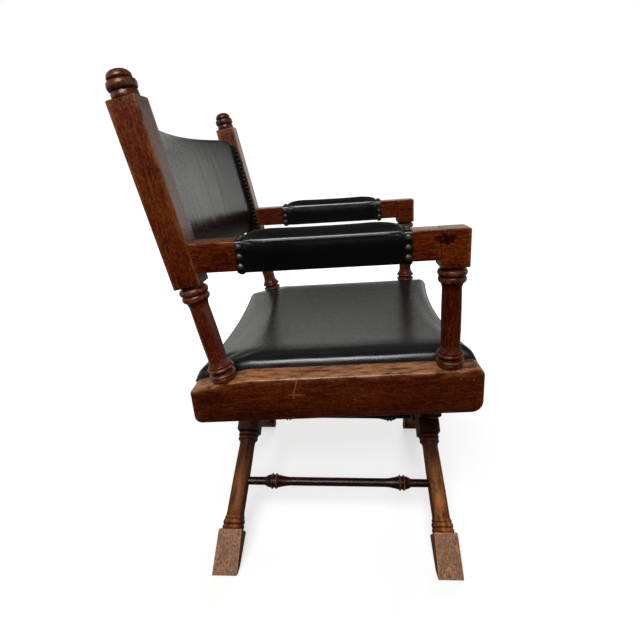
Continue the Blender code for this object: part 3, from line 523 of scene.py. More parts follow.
@dataclass
class Plank:
    """Sawn piece with rounded edges: an outline in the plane of the side frame, thick along X."""

    corners: list[tuple[float, float, float]]
    half: float
    edge: float = 0.003
    steps: int = 8
    # Golden wear with painted light on the top, and painted shade on downward faces.
    top_wear_and_light: float = 0.85
    underside_shade: float = 0.6

    def _inset(self, depth: float) -> Array:
        """Outline drawn inward: each corner moves along its mitre and its arc tightens.

        Args:
            depth: Distance inward.

        Returns:
            Points (n, 2).
        """
        places = np.array([corner[:2] for corner in self.corners])
        ahead = np.roll(places, -1, axis=0) - places
        ahead /= np.linalg.norm(ahead, axis=1, keepdims=True)
        after = np.stack([ahead[:, 1], -ahead[:, 0]], axis=1)
        before = np.roll(after, 1, axis=0)
        mitre = (before + after) / (1.0 + (before * after).sum(1, keepdims=True))
        moved = places - depth * mitre
        radii = [max(corner[2] - depth, 1e-4) for corner in self.corners]
        return rounded_outline([(u, w, radius) for (u, w), radius in zip(moved.tolist(), radii)], self.steps)

    def skin(self, name: str, carrier: Carrier, seed: int) -> Skin:
        """Lay the plank's surface into a new skin.

        The surface is the product of the outline and a path across the thickness. The path starts
        inside one face, follows a quarter circle over the edge, crosses and mirrors that. Each of
        its rows draws the outline inward by its own distance. Where the outline's normal points
        up the edges are worn and the top is golden, with wear and painted light; where it points
        down the wood is darkened with painted shade.

        Args:
            name: Piece name.
            carrier: Frame that the plank lies in.
            seed: Seed of its grain offset.

        Returns:
            The skin.
        """
        angle = np.linspace(0.0, math.pi / 2, 6)
        inset = np.concatenate([[3.0], 1.0 - np.sin(angle)]) * self.edge
        depth = self.half - np.concatenate([[0.0], 1.0 - np.cos(angle)]) * self.edge
        worn = np.concatenate([[0.0], 0.35 + 0.65 * np.sin(2 * angle)])
        worn[-1] = 0.15
        inset = np.concatenate([inset, [0.0], inset[::-1]])
        depth = np.concatenate([-depth, [0.0], depth[::-1]])
        worn = np.concatenate([worn, [0.0], worn[::-1]])
        flat = np.stack([self._inset(float(inward)) for inward in inset])
        across = np.broadcast_to(depth[:, None], flat.shape[:2])
        local = np.stack([across, -flat[..., 0], flat[..., 1]], axis=-1)
        grain = np.stack([local[..., 0], local[..., 2], local[..., 1]], axis=-1)
        run = np.roll(flat, -1, axis=1) - np.roll(flat, 1, axis=1)
        upward = -run[..., 0] / np.linalg.norm(run, axis=-1)
        rim = np.clip(1.0 - inset / self.edge, 0.0, 1.0)
        masks = np.zeros(local.shape[:2] + (4,))
        on_top = np.clip((upward - 0.5) / 0.4, 0.0, 1.0)
        masks[..., 0] = worn[:, None] * (0.2 + 0.8 * on_top)
        # Painted shade on downward faces; golden wear and painted light on the top.
        masks[..., 1] = self.underside_shade * np.clip(-0.3 - upward, 0.0, 0.5) * 2.0
        masks[..., 3] = self.top_wear_and_light * on_top * rim[:, None] ** 2
        skin = Skin(name, seed)
        skin.add_grid(carrier.points(local), grain, masks)
        return skin


class Graph:
    """Short hand for wiring a node tree."""

    def __init__(self, tree: Tree) -> None:
        """Keep the tree of a material, world or group."""
        self.tree = tree

    def node(self, kind: str, inputs: dict | None = None, **settings: object) -> bpy.types.Node:
        """Add a node.

        Args:
            kind: Node type without its ShaderNode prefix.
            inputs: Socket name or number to a constant or to an output socket.
            settings: Properties of the node.

        Returns:
            The node.
        """
        made = self.tree.nodes.new(f"ShaderNode{kind}")
        for key, value in settings.items():
            setattr(made, key, value)
        self.wire(made, inputs or {})
        return made

    def wire(self, node: bpy.types.Node, inputs: dict) -> None:
        """Link output sockets to a node's inputs, or set the inputs' own values.

        Args:
            node: Node to wire.
            inputs: Socket name or number to a constant or to an output socket.
        """
        for key, value in inputs.items():
            if isinstance(value, Socket):
                self.tree.links.new(value, node.inputs[key])
            else:
                node.inputs[key].default_value = value

    def math(self, operation: str, first: object, second: object = 0.0, clamp: bool = False) -> Socket:
        """Arithmetic on two values by Blender's name of it; clamp keeps the result from 0 to 1."""
        return self.node("Math", {0: first, 1: second}, operation=operation, use_clamp=clamp).outputs[0]

    def times(self, first: object, second: object) -> Socket:
        """Product of two values."""
        return self.math("MULTIPLY", first, second)

    def plus(self, first: object, second: object) -> Socket:
        """Sum of two values."""
        return self.math("ADD", first, second)

    def less(self, first: object, second: object) -> Socket:
        """First value less the second."""
        return self.math("SUBTRACT", first, second)

    def mix(self, share: object, first: object, second: object) -> Socket:
        """Mix two colours, by the share of the second."""
        return self.node("Mix", {0: share, 6: first, 7: second}, data_type="RGBA").outputs[2]

    def group(self, tree: Tree, *values: object) -> list[Socket]:
        """Place a shared group and give a value or socket to each of its inputs."""
        return list(self.node("Group", dict(enumerate(values)), node_tree=tree).outputs)

    def noise(self, vector: Socket, scale: Place, detail: float = 3.0, roughness: float = 0.55) -> Socket:
        """Noise about 0.5, with cells per metre along each axis, octaves and the share kept by each."""
        stretched = self.node("VectorMath", {0: vector, 1: scale}, operation="MULTIPLY").outputs[0]
        return self.node("TexNoise", {"Vector": stretched, "Scale": 1.0, "Detail": detail,
                                      "Roughness": roughness}).outputs[0]

    def ramp(self, value: Socket, low: float, high: float) -> Socket:
        """Smooth step of a value, from 0 at low to 1 at high."""
        return self.node("MapRange", {"Value": value, "From Min": low, "From Max": high},
                         interpolation_type="SMOOTHSTEP").outputs[0]

    def colours(self, value: Socket, stops: list[tuple[float, tuple[float, ...]]]) -> Socket:
        """Colour ramp.

        Args:
            value: Value socket.
            stops: Position and opaque colour of each stop.

        Returns:
            Colour socket.
        """
        made = self.node("ValToRGB", {0: value})
        ramp = made.color_ramp
        while len(ramp.elements) < len(stops):
            ramp.elements.new(0.5)
        for element, (position, colour) in zip(ramp.elements, stops):
            element.position = position
            element.color = colour
        return made.outputs[0]


def tint(colour: Colour, share: float = 1.0) -> tuple[float, float, float, float]:
    """Opaque colour, with its brightness scaled by a share."""
    return (*(share * part for part in colour), 1.0)


def blank_material(name: str) -> tuple[Material, Graph, bpy.types.Node]:
    """New material with nodes.

    Args:
        name: Material name.

    Returns:
        The material, its graph and its Principled shader.
    """
    material = bpy.data.materials.new(name)
    material.use_nodes = True
    return material, Graph(material.node_tree), material.node_tree.nodes["Principled BSDF"]


def make_group(name: str, inputs: list[tuple[str, str]], outputs: list[tuple[str, str]]
               ) -> tuple[Tree, Graph, bpy.types.Node, bpy.types.Node]:
    """Empty node group with its sockets.

    Args:
        name: Group name.
        inputs: Name and socket type of each input.
        outputs: Name and socket type of each output.

    Returns:
        The tree, its graph, the group's input node and its output node.
    """
    tree = bpy.data.node_groups.new(name, "ShaderNodeTree")
    for label, kind in inputs:
        tree.interface.new_socket(label, in_out="INPUT", socket_type=f"NodeSocket{kind}")
    for label, kind in outputs:
        tree.interface.new_socket(label, in_out="OUTPUT", socket_type=f"NodeSocket{kind}")
    return tree, Graph(tree), tree.nodes.new("NodeGroupInput"), tree.nodes.new("NodeGroupOutput")


class Effects:
    """Node groups shared by the finishes. They give only values and colours."""

    def __init__(self) -> None:
        """Build every group once."""
        self.grain = self._grain()
        self.pebble = self._pebble()
        self.stroke = self._stroke()

    @staticmethod
    def _grain() -> Tree:
        """Wood figure: slow tone, fine fibres and dark pores, all drawn out along the fibres.

        Returns:
            The group.
        """
        tree, graph, source, sink = make_group(
            "wood_grain", [("Vector", "Vector")],
            [("Tone", "Float"), ("Pores", "Float"), ("Height", "Float")])
        vector = source.outputs[0]
        slow = graph.noise(vector, (26.0, 26.0, 6.0), 4.0)
        fibre = graph.noise(vector, (330.0, 330.0, 34.0), 3.0)
        fleck = graph.noise(vector, (520.0, 520.0, 210.0), 2.0)
        dash = graph.noise(vector, (1100.0, 1100.0, 170.0), 2.0)
        tone = graph.plus(graph.times(slow, 0.26), graph.times(fibre, 0.32))
        tone = graph.plus(tone, graph.times(fleck, 0.42))
        pores = graph.ramp(dash, 0.54, 0.68)
        height = graph.less(graph.times(fibre, 0.35), graph.times(pores, 0.65))
        graph.wire(sink, {0: tone, 1: pores, 2: height})
        return tree

    @staticmethod
    def _pebble() -> Tree:
        """Leather grain: cells under a millimetre, creases of a few millimetres and slow mottling.

        Returns:
            The group.
        """
        tree, graph, source, sink = make_group(
            "leather_pebble", [("Vector", "Vector")],
            [("Height", "Float"), ("Mottle", "Float")])
        vector = source.outputs[0]
        cells = graph.node("TexVoronoi", {"Vector": vector, "Scale": 950.0}, feature="DISTANCE_TO_EDGE")
        cells = graph.ramp(cells.outputs[0], 0.0, 0.16)
        crease = graph.noise(vector, (210.0, 210.0, 210.0), 4.0, 0.62)
        mottle = graph.noise(vector, (26.0, 26.0, 26.0), 4.0, 0.6)
        graph.wire(sink, {0: graph.plus(graph.times(cells, 0.45), graph.times(crease, 0.55)), 1: mottle})
        return tree

    @staticmethod
    def _stroke() -> Tree:
        """Ragged mark along a straight line between two points of a piece's own coordinates.

        Returns:
            The group.
        """
        tree, graph, source, sink = make_group(
            "stroke_mark", [("Vector", "Vector"), ("Start", "Vector"),
                            ("End", "Vector"), ("Width", "Float")],
            [("Mark", "Float")])
        vector, start, end, width = source.outputs[:4]

        def two(operation: str, first: object, second: object, value: bool = False) -> Socket:
            """Vector arithmetic; value picks the number that a dot product gives."""
            made = graph.node("VectorMath", {0: first, 1: second}, operation=operation)
            return made.outputs["Value" if value else "Vector"]

        run = two("SUBTRACT", end, start)
        away = two("SUBTRACT", vector, start)
        reach, length = two("DOT_PRODUCT", away, run, True), two("DOT_PRODUCT", run, run, True)
        share = graph.math("DIVIDE", reach, length, True)
        foot = graph.node("VectorMath", {0: run, "Scale": share}, operation="SCALE").outputs[0]
        miss = two("SUBTRACT", away, foot)
        far = graph.math("SQRT", two("DOT_PRODUCT", miss, miss, True))
        ragged = graph.noise(vector, (420.0, 420.0, 420.0), 4.0, 0.7)
        edge = graph.times(width, graph.times(graph.less(ragged, 0.22), 2.6))
        mark = graph.math("SUBTRACT", 1.0, graph.math("DIVIDE", far, edge), True)
        graph.wire(sink, {0: graph.ramp(mark, 0.0, 0.5)})
        return tree


@dataclass(frozen=True)
class WoodFinish:
    """Varnished mahogany: tones, pores, worn edges, flecks, dirt and painted shade, golden wear with painted
    light, and bare feet.
    """

    name: str
    source: GrainSource = GrainSource.ATTRIBUTE
    shade: float = 1.0
    dark: Colour = (0.030, 0.0022, 0.0003)
    middle: Colour = (0.088, 0.0105, 0.0008)
    light: Colour = (0.175, 0.0360, 0.0030)
    worn: Colour = (0.300, 0.1250, 0.0500)
    golden: Colour = (0.330, 0.1120, 0.0165)
    bare: Colour = (0.330, 0.1700, 0.0960)
    roughness: float = 0.25
    specular: float = 0.30
    strokes: tuple[Stroke, ...] = ()

    def build(self, effects: Effects) -> Material:
        """Make the material.

        Args:
            effects: Shared node groups.

        Returns:
            The material.
        """
        material, graph, shader = blank_material(self.name)
        if self.source is GrainSource.ATTRIBUTE:
            vector = graph.node("Attribute", attribute_name="grain").outputs["Vector"]
        else:
            raw = graph.node("TexCoord").outputs["Object"]
            turn = graph.node("VectorRotate", {"Vector": raw, "Angle": math.pi / 2}, rotation_type="X_AXIS")
            vector = turn.outputs[0]
        masks = graph.node("Attribute", attribute_name="masks")
        wear, grime_and_shade, bare = graph.node("SeparateColor", {0: masks.outputs["Color"]}).outputs[:3]
        golden = masks.outputs["Alpha"]
        tone, pores, height = graph.group(effects.grain, vector)
        patch = graph.noise(vector, (95.0, 95.0, 30.0), 4.0, 0.65)

        # Varnished wood: three tones, thin golden places of wear and painted light, pores, rubbed edges, pale
        # flecks, dirt and painted shade.
        tones = [tint(stop, self.shade) for stop in (self.dark, self.middle, self.light)]
        colour = graph.colours(tone, list(zip((0.40, 0.50, 0.61), tones)))
        gold = graph.colours(tone, [(0.36, tint(self.golden, 0.45)), (0.62, tint(self.golden))])
        colour = graph.mix(graph.times(golden, graph.ramp(patch, 0.30, 0.62)), colour, gold)
        colour = graph.mix(graph.times(pores, 0.55), colour, tint(self.dark, 0.35))
        rubbed = graph.times(wear, graph.ramp(patch, 0.36, 0.66))
        colour = graph.mix(graph.times(rubbed, 0.75), colour, tint(self.worn))
        flecks = graph.ramp(graph.noise(vector, (260.0, 260.0, 200.0), 2.0), 0.72, 0.76)
        colour = graph.mix(graph.times(flecks, 0.6), colour, tint(self.worn, 0.6))
        # Dirt and painted shade darken the wood.
        colour = graph.mix(graph.times(grime_and_shade, 0.78), colour, tint(self.dark, 0.30))

        # Bare wood of the feet: fine scuffs, dark smears and pale edges.
        scuff = graph.noise(vector, (330.0, 330.0, 160.0), 4.0, 0.80)
        raw_wood = graph.colours(scuff, [(0.39, tint(self.bare, 0.22)), (0.61, tint(self.bare, 1.08))])
        smear = graph.ramp(graph.noise(vector, (75.0, 75.0, 38.0), 3.0), 0.40, 0.68)
        raw_wood = graph.mix(graph.times(smear, 0.6), raw_wood, tint(self.bare, 0.40))
        raw_wood = graph.mix(graph.times(wear, 0.75), raw_wood, tint(self.bare, 1.7))
        colour = graph.mix(graph.ramp(bare, 0.25, 0.75), colour, raw_wood)

        # Single scratches and scuffs.
        place = graph.node("TexCoord").outputs["Object"]
        for start, end, width, pale in self.strokes:
            mark = graph.group(effects.stroke, place, start, end, width)[0]
            shown, share = (tint(self.worn), 0.50) if pale else (tint(self.dark, 0.25), 0.85)
            colour = graph.mix(graph.times(mark, share), colour, shown)

        gloss = graph.plus(self.roughness - 0.07, graph.times(patch, 0.16))
        gloss = graph.plus(gloss, graph.times(pores, 0.10))
        gloss = graph.math("ADD", gloss, graph.times(bare, 0.40), True)
        bump = graph.node("Bump", {"Height": height, "Strength": 0.30, "Distance": 0.0004})
        graph.wire(shader, {"Base Color": colour, "Roughness": gloss, "Specular IOR Level": self.specular,
                            "Normal": bump.outputs[0]})
        return material


@dataclass(frozen=True)
class LeatherFinish:
    """Smooth black leather: fine pebble, soft creases, patchy gloss and grey rubbed folds."""

    name: str
    colour: Colour = (0.0014, 0.0016, 0.0016)
    rubbed: Colour = (0.010, 0.0105, 0.010)
    roughness: float = 0.27
    specular: float = 0.45
    pebble: float = 0.10

    def build(self, effects: Effects) -> Material:
        """Make the material.

        Args:
            effects: Shared node groups.

        Returns:
            The material.
        """
        material, graph, shader = blank_material(self.name)
        place = graph.node("TexCoord").outputs["Object"]
        masks = graph.node("Attribute", attribute_name="masks").outputs["Color"]
        wear = graph.node("SeparateColor", {0: masks}).outputs[0]
        height, mottle = graph.group(effects.pebble, place)
        rub = graph.times(wear, graph.ramp(mottle, 0.34, 0.66))
        colour = graph.mix(graph.times(mottle, 0.35), tint(self.colour), tint(self.colour, 2.0))
        colour = graph.mix(graph.times(rub, 0.6), colour, tint(self.rubbed))
        gloss = graph.plus(self.roughness - 0.04, graph.times(mottle, 0.08))
        gloss = graph.plus(gloss, graph.times(rub, 0.10))
        bump = graph.node("Bump", {"Height": height, "Strength": self.pebble, "Distance": 0.0003})
        graph.wire(shader, {"Base Color": colour, "Roughness": gloss, "Specular IOR Level": self.specular,
                            "Normal": bump.outputs[0]})
        return material


@dataclass(frozen=True)
class MetalFinish:
    """Aged metal: a base tint, a darker tarnish in patches and fine pitting."""

    name: str
    colour: Colour
    tarnish: Colour
    roughness: float = 0.34

    def build(self) -> Material:
        """Make the material.

        Returns:
            The material.
        """
        material, graph, shader = blank_material(self.name)
        place = graph.node("TexCoord").outputs["Object"]
        patch = graph.noise(place, (420.0, 420.0, 420.0), 4.0, 0.65)
        pits = graph.noise(place, (2600.0, 2600.0, 2600.0), 2.0)
        share = graph.ramp(patch, 0.36, 0.64)
        colour = graph.mix(share, tint(self.colour), tint(self.tarnish))
        gloss = graph.plus(self.roughness, graph.times(share, 0.22))
        bump = graph.node("Bump", {"Height": pits, "Strength": 0.18, "Distance": 0.0003})
        graph.wire(shader, {"Base Color": colour, "Metallic": 1.0, "Roughness": gloss,
                            "Normal": bump.outputs[0]})
        return material


def side_strokes(pale: bool, *rows: tuple[float, ...]) -> tuple[Stroke, ...]:
    """Strokes on the right side's outer face, from rows of Y and height at both ends, and the width."""
    x = -SIZES.outer_face
    return tuple(((x, row[0], row[1]), (x, row[2], row[3]), row[4], pale) for row in rows)


RAIL_STROKES = side_strokes(
    True, (0.0311, 0.4415, 0.0369, 0.4199, 0.0015), (0.0369, 0.4199, 0.0373, 0.4085, 0.0012),
    (0.0452, 0.4153, 0.0189, 0.4156, 0.0012), (-0.2281, 0.4472, -0.2290, 0.4468, 0.0012),
    (-0.2478, 0.4452, -0.2484, 0.4448, 0.0012), (-0.2448, 0.4166, -0.2456, 0.4158, 0.0012),
    (-0.0600, 0.4082, -0.0635, 0.4070, 0.0010))
ARM_STROKES = side_strokes(
    False, (-0.1742, 0.6690, -0.1980, 0.6700, 0.0062), (-0.1790, 0.6640, -0.1960, 0.6655, 0.0056),
    (-0.1850, 0.6730, -0.1905, 0.6610, 0.0050))
# Golden colours of the worn tops, which also stand for painted light on them.
RAIL_GOLD = (0.40, 0.17, 0.06)
ARM_GOLD = (0.170, 0.0600, 0.0120)


@dataclass(frozen=True)
class Finishes:
    """Every material of the chair."""

    wood: Material
    rail: Material
    scratched_rail: Material
    arm: Material
    scuffed_arm: Material
    leg: Material
    stretcher: Material
    hidden_wood: Material
    leather: Material
    pad_leather: Material
    brass: Material
    shaded_tack_brass: Material
    steel: Material

    @staticmethod
    def make() -> "Finishes":
        """Build the materials.

        Returns:
            The finishes.
        """
        effects = Effects()
        # shade scales a copy's tones down: darker copies of the mahogany for rails, arms and legs.
        rail = WoodFinish("mahogany_rail", shade=0.54, golden=RAIL_GOLD)
        arm = WoodFinish("mahogany_arm", shade=0.60, specular=0.15, golden=ARM_GOLD)
        pads = LeatherFinish("black_pad_leather", (0.0006, 0.0007, 0.0007), roughness=0.19, specular=0.50,
                             pebble=0.27)
        return Finishes(
            wood=WoodFinish("mahogany", middle=(0.074, 0.0098, 0.0008),
                            light=(0.155, 0.0340, 0.0028)).build(effects),
            rail=rail.build(effects),
            scratched_rail=replace(rail, name="mahogany_scratched", strokes=RAIL_STROKES).build(effects),
            arm=arm.build(effects),
            scuffed_arm=replace(arm, name="mahogany_scuffed", strokes=ARM_STROKES).build(effects),
            leg=WoodFinish("mahogany_leg", shade=0.6, roughness=0.46, specular=0.16).build(effects),
            # The stretcher's copy is darkened almost to black as painted shade.
            stretcher=WoodFinish("mahogany_stretcher_painted_shade", shade=0.16, specular=0.20).build(effects),
            hidden_wood=WoodFinish("mahogany_plain", GrainSource.OBJECT).build(effects),
            leather=LeatherFinish("black_leather").build(effects),
            pad_leather=pads.build(effects),
            brass=MetalFinish("aged_brass", (0.110, 0.100, 0.078), (0.045, 0.042, 0.034), 0.42).build(),
            # Back tacks: brass darkened as painted shade.
            shaded_tack_brass=MetalFinish("brass_painted_shade", (0.030, 0.026, 0.021), (0.012, 0.011, 0.009), 0.40).build(),
            steel=MetalFinish("dark_steel", (0.26, 0.25, 0.24), (0.09, 0.085, 0.08), 0.40).build())


@dataclass(frozen=True)
class Inflation:
    """Cloth run that plumps a closed leather skin from inside, with its held edges pinned."""

    pressure: float = 4.0
    frames: int = 20
    cap: float = 0.005
    stiffness: float = 18.0
    shear_share: float = 0.6
    bending: float = 0.8
    mass: float = 0.25
    quality: int = 5

    def run(self, piece: Piece, held: Array) -> None:
        """Run the cloth and keep its result in the mesh.

        Args:
            piece: Closed mesh object at the origin.
            held: True for each vertex that stays where it is.
        """
        scene = bpy.context.scene
        before = np.empty(len(piece.data.vertices) * 3)
        piece.data.vertices.foreach_get("co", before)
        group = piece.vertex_groups.new(name="held")
        group.add(np.flatnonzero(held).tolist(), 1.0, "REPLACE")
        cloth = piece.modifiers.new("plump", "CLOTH")
        settings = cloth.settings
        settings.quality = self.quality
        settings.mass = self.mass
        settings.tension_stiffness = self.stiffness
        settings.compression_stiffness = self.stiffness
        settings.shear_stiffness = self.stiffness * self.shear_share
        settings.bending_stiffness = self.bending
        settings.vertex_group_mass = "held"
        settings.use_pressure = True
        settings.uniform_pressure_force = self.pressure
        settings.effector_weights.gravity = 0.0
        cloth.collision_settings.use_collision = False
        cloth.point_cache.frame_start = 1
        cloth.point_cache.frame_end = self.frames
        for number in range(1, self.frames + 1):
            scene.frame_set(number)
        shaped = piece.evaluated_get(bpy.context.evaluated_depsgraph_get())
        after = np.empty(len(piece.data.vertices) * 3)
        shaped.data.vertices.foreach_get("co", after)
        piece.modifiers.remove(cloth)
        piece.vertex_groups.remove(group)
        scene.frame_set(1)
        move = (after - before).reshape(-1, 3)
        size = np.linalg.norm(move, axis=1, keepdims=True)
        move = move * self.cap * np.tanh(size / self.cap) / np.maximum(size, 1e-9)
        piece.data.vertices.foreach_set("co", before + move.ravel())
        piece.data.update()
        most = float(np.linalg.norm(move, axis=1).max())
        LOG.info("%s: plumped by up to %.1f mm", piece.name, 1000.0 * most)


def subdivide(piece: Piece) -> None:
    """Add one subdivision.

    Args:
        piece: Mesh object.
    """
    modifier = piece.modifiers.new("smooth", "SUBSURF")
    modifier.levels = 1
    modifier.render_levels = 1


def edge_roll(distance: Array, radius: float) -> Array:
    """Quarter-circle rise from an edge: 0 at the edge, 1 from one radius inward."""
    inside = np.clip(distance / radius, 0.0, 1.0)
    return np.sqrt(1.0 - (1.0 - inside) ** 2)


def pillow(name: str, upper: Array, lower: Array, masks: Array) -> Skin:
    """Closed skin of two grids that share their border.

    Args:
        name: Piece name.
        upper: Points (rows, columns, 3) of the shown face.
        lower: Points of the other face, equal to the first along the border.
        masks: Masks (rows, columns, 4) of both faces.

    Returns:
        The skin.
    """
    rows, columns = upper.shape[:2]
    first = np.arange(rows * columns).reshape(rows, columns)
    second = np.full((rows, columns), -1)
    second[1:-1, 1:-1] = rows * columns + np.arange((rows - 2) * (columns - 2)).reshape(rows - 2, columns - 2)
    second = np.where(second < 0, first, second)
    quads = quads_between(first) + quads_between(second[:, ::-1])
    points = np.concatenate([upper.reshape(-1, 3), lower[1:-1, 1:-1].reshape(-1, 3)])
    both = np.concatenate([masks.reshape(-1, 4), masks[1:-1, 1:-1].reshape(-1, 4)])
    skin = Skin(name)
    skin.add(points, points, both, quads)
    return skin


@dataclass
class Seat:
    """Leather seat between the rails: rolled edges, hollow front edge, sagging middle."""

    front: float = 0.2255
    rear: float = 0.2535
    scallop: float = 0.0170
    rear_scallop: float = 0.008
    tuck: float = 0.006
    crest: float = 0.0155
    shoulder: float = 0.0050
    shoulder_width: float = 0.060
    sag: float = 0.0120
    ripple: float = 0.0004
    ripple_reach: float = 0.05
    depth: float = 0.0180
    relief: float = 0.0045
    relief_from: float = 0.045
    relief_blend: float = 0.015
    roll: float = 0.017
    wear: float = 0.6
    wear_width: float = 0.012
    pinned: float = 0.006
    columns: int = 73
    rows: int = 61
    inflation: Inflation = Inflation(cap=0.0012)

    def build(self, finishes: Finishes) -> None:
        """Make the seat.

        A point runs with s across and t from front to rear, both closer together at the edges.
        The front and rear edges curve in with the square of s. The top rises from every edge by
        a quarter circle, goes on over a broad shoulder that flattens with the square of the
        distance still to go, and sags towards the middle with 1 - s squared. It drops with the
        rails' ramp at the rear. The underside hangs below it in the same way, less so over the
        battens, which it has to clear when folded, and meets it along the tucked border.

        Args:
            finishes: Materials.
        """
        half = SIZES.inner_face - SIZES.gap
        s = -np.cos(np.linspace(0.0, math.pi, self.columns))[None, :]
        t = (0.5 - 0.5 * np.cos(np.linspace(0.0, math.pi, self.rows)))[:, None]
        front = self.front - self.scallop * (1.0 - s ** 2)
        rear = self.rear - self.rear_scallop * (1.0 - s ** 2)
        x = np.broadcast_to(s * half, (self.rows, self.columns))
        y = -front + (rear + front) * t
        from_side = (1.0 - np.abs(s)) * half
        from_end = np.minimum(t, 1.0 - t) * (self.front + self.rear)
        swell = edge_roll(from_side, self.roll) * edge_roll(from_end, self.roll)
        sag = self.sag * (1.0 - s ** 2) * (0.8 + 0.2 * np.sin(math.pi * t))
        to_go = 1.0 - np.clip(np.minimum(from_side, 1.4 * from_end) / self.shoulder_width, 0.0, 1.0)
        shoulder = self.shoulder * (1.0 - to_go ** 2) * swell
        ramp = np.clip(y - SIZES.rail_rear + SIZES.ramp_length, 0.0, SIZES.ramp_length) * math.tan(SIZES.lean)
        wave = np.sin(y * 95.0 + 2.0 * np.sin(y * 31.0))
        ripple = self.ripple * np.exp(-from_side / self.ripple_reach) * wave * swell
        upper = (self.crest + self.tuck) * swell - self.tuck + shoulder - sag + ripple - ramp
        over_batten = np.clip((self.relief_from - from_side) / self.relief_blend, 0.0, 1.0)
        hang = self.depth - self.relief * over_batten
        lower = -self.tuck - (hang - self.tuck) * swell - sag - ramp * (1.0 - swell)
        lower = np.where(swell == 0.0, upper, lower)
        carrier = side_carrier(0.0)
        masks = np.zeros((self.rows, self.columns, 4))
        from_edge = np.minimum(from_side, from_end)
        masks[..., 0] = self.wear * np.exp(-from_edge / self.wear_width)
        skin = pillow("seat_leather", carrier.points(np.stack([x, y, upper], -1)),
                      carrier.points(np.stack([x, y, lower], -1)), masks)
        piece = skin.build(finishes.leather, ALL_SMOOTH)
        underside = np.ones((self.rows - 2) * (self.columns - 2), bool)
        held = np.concatenate([(from_edge < self.pinned).ravel(), underside])
        self.inflation.run(piece, held)
        subdivide(piece)
        stand_in(piece, "right_frame", "seat")
        SIZES.folded_share
        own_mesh(piece)


@dataclass
class Back:
    """Leather back between the rear posts: hollow across, plump, nailed along both sides."""

    top: float = 0.0275
    dip: float = 0.001
    bottom: float = 0.255
    corner: float = 0.026
    edge_fore: float = 0.0095
    edge_depth: float = 0.013
    hollow: float = 0.030
    plump: float = 0.007
    plump_rise: float = 0.040
    tuck: float = 0.009
    tuck_length: float = 0.060
    side_roll: float = 0.010
    end_roll: float = 0.012
    flute: float = 0.0005
    flute_reach: float = 0.020
    wear: float = 0.7
    wear_width: float = 0.010
    pinned: float = 0.008
    strip: float = 0.0012
    nail_ahead: float = 0.0044
    columns: int = 73
    rows: int = 49
    pulls: int = 20
    inflation: Inflation = Inflation(cap=0.004)

    def build(self, finishes: Finishes) -> None:
        """Make the back.

        A point runs with s across and t down. The face lies behind the posts' front by a share
        of 1 - s squared, swells towards the middle, rolls over at the border by a quarter circle
        and is drawn into shallow flutes between the nails, which fade out away from the posts.
        Towards the bottom it curves back with the square of the distance.

        Args:
            finishes: Materials.
        """
        half = SIZES.outer_face - SIZES.stock - SIZES.gap
        s = -np.cos(np.linspace(0.0, math.pi, self.columns))[None, :]
        t = (0.5 - 0.5 * np.cos(np.linspace(0.0, math.pi, self.rows)))[:, None]
        from_side = (1.0 - np.abs(s)) * half
        corner = self.corner * (1.0 - edge_roll(from_side, self.corner))
        first = self.top + self.dip * (1.0 - s ** 2) + corner
        last = self.bottom - corner
        drop = first + (last - first) * t
        x = np.broadcast_to(s * half, drop.shape)
        fore = self.edge_fore - self.hollow * (1.0 - s ** 2)
        from_end = np.minimum(t, 1.0 - t) * (self.bottom - self.top)
        swell = edge_roll(from_side, self.side_roll) * edge_roll(from_end, self.end_roll)
        plump = self.plump * (1.0 - s ** 4) * edge_roll(from_end, self.plump_rise)
        pitch = (self.bottom - self.top - self.corner) / self.pulls
        wave = np.cos(2 * math.pi * (drop - self.top - self.corner) / pitch)
        flutes = self.flute * np.exp(-from_side / self.flute_reach) * wave
        tuck = self.tuck * np.clip(1.0 - (last - drop) / self.tuck_length, 0.0, 1.0) ** 2
        middle = -fore + 0.5 * self.edge_depth + tuck
        face = middle - (0.5 * self.edge_depth + 0.4 * plump + flutes) * swell
        rear = middle + (0.5 * self.edge_depth + 0.6 * plump) * swell
        rear = np.where(swell == 0.0, face, rear)
        height = SIZES.rear_post_top - drop
        carrier = lean_carrier(0.0)
        masks = np.zeros(drop.shape + (4,))
        from_edge = np.minimum(from_side, from_end)
        masks[..., 0] = self.wear * np.exp(-from_edge / self.wear_width)
        skin = pillow("back_leather", carrier.points(np.stack([x, face, height], -1)),
                      carrier.points(np.stack([x, rear, height], -1)), masks)
        piece = skin.build(finishes.leather, ALL_SMOOTH)
        held = from_edge < self.pinned
        self.inflation.run(piece, np.concatenate([held.ravel(), held[1:-1, 1:-1].ravel()]))
        subdivide(piece)
        stand_in(piece, "right_frame", "back")
        SIZES.folded_share
        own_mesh(piece)


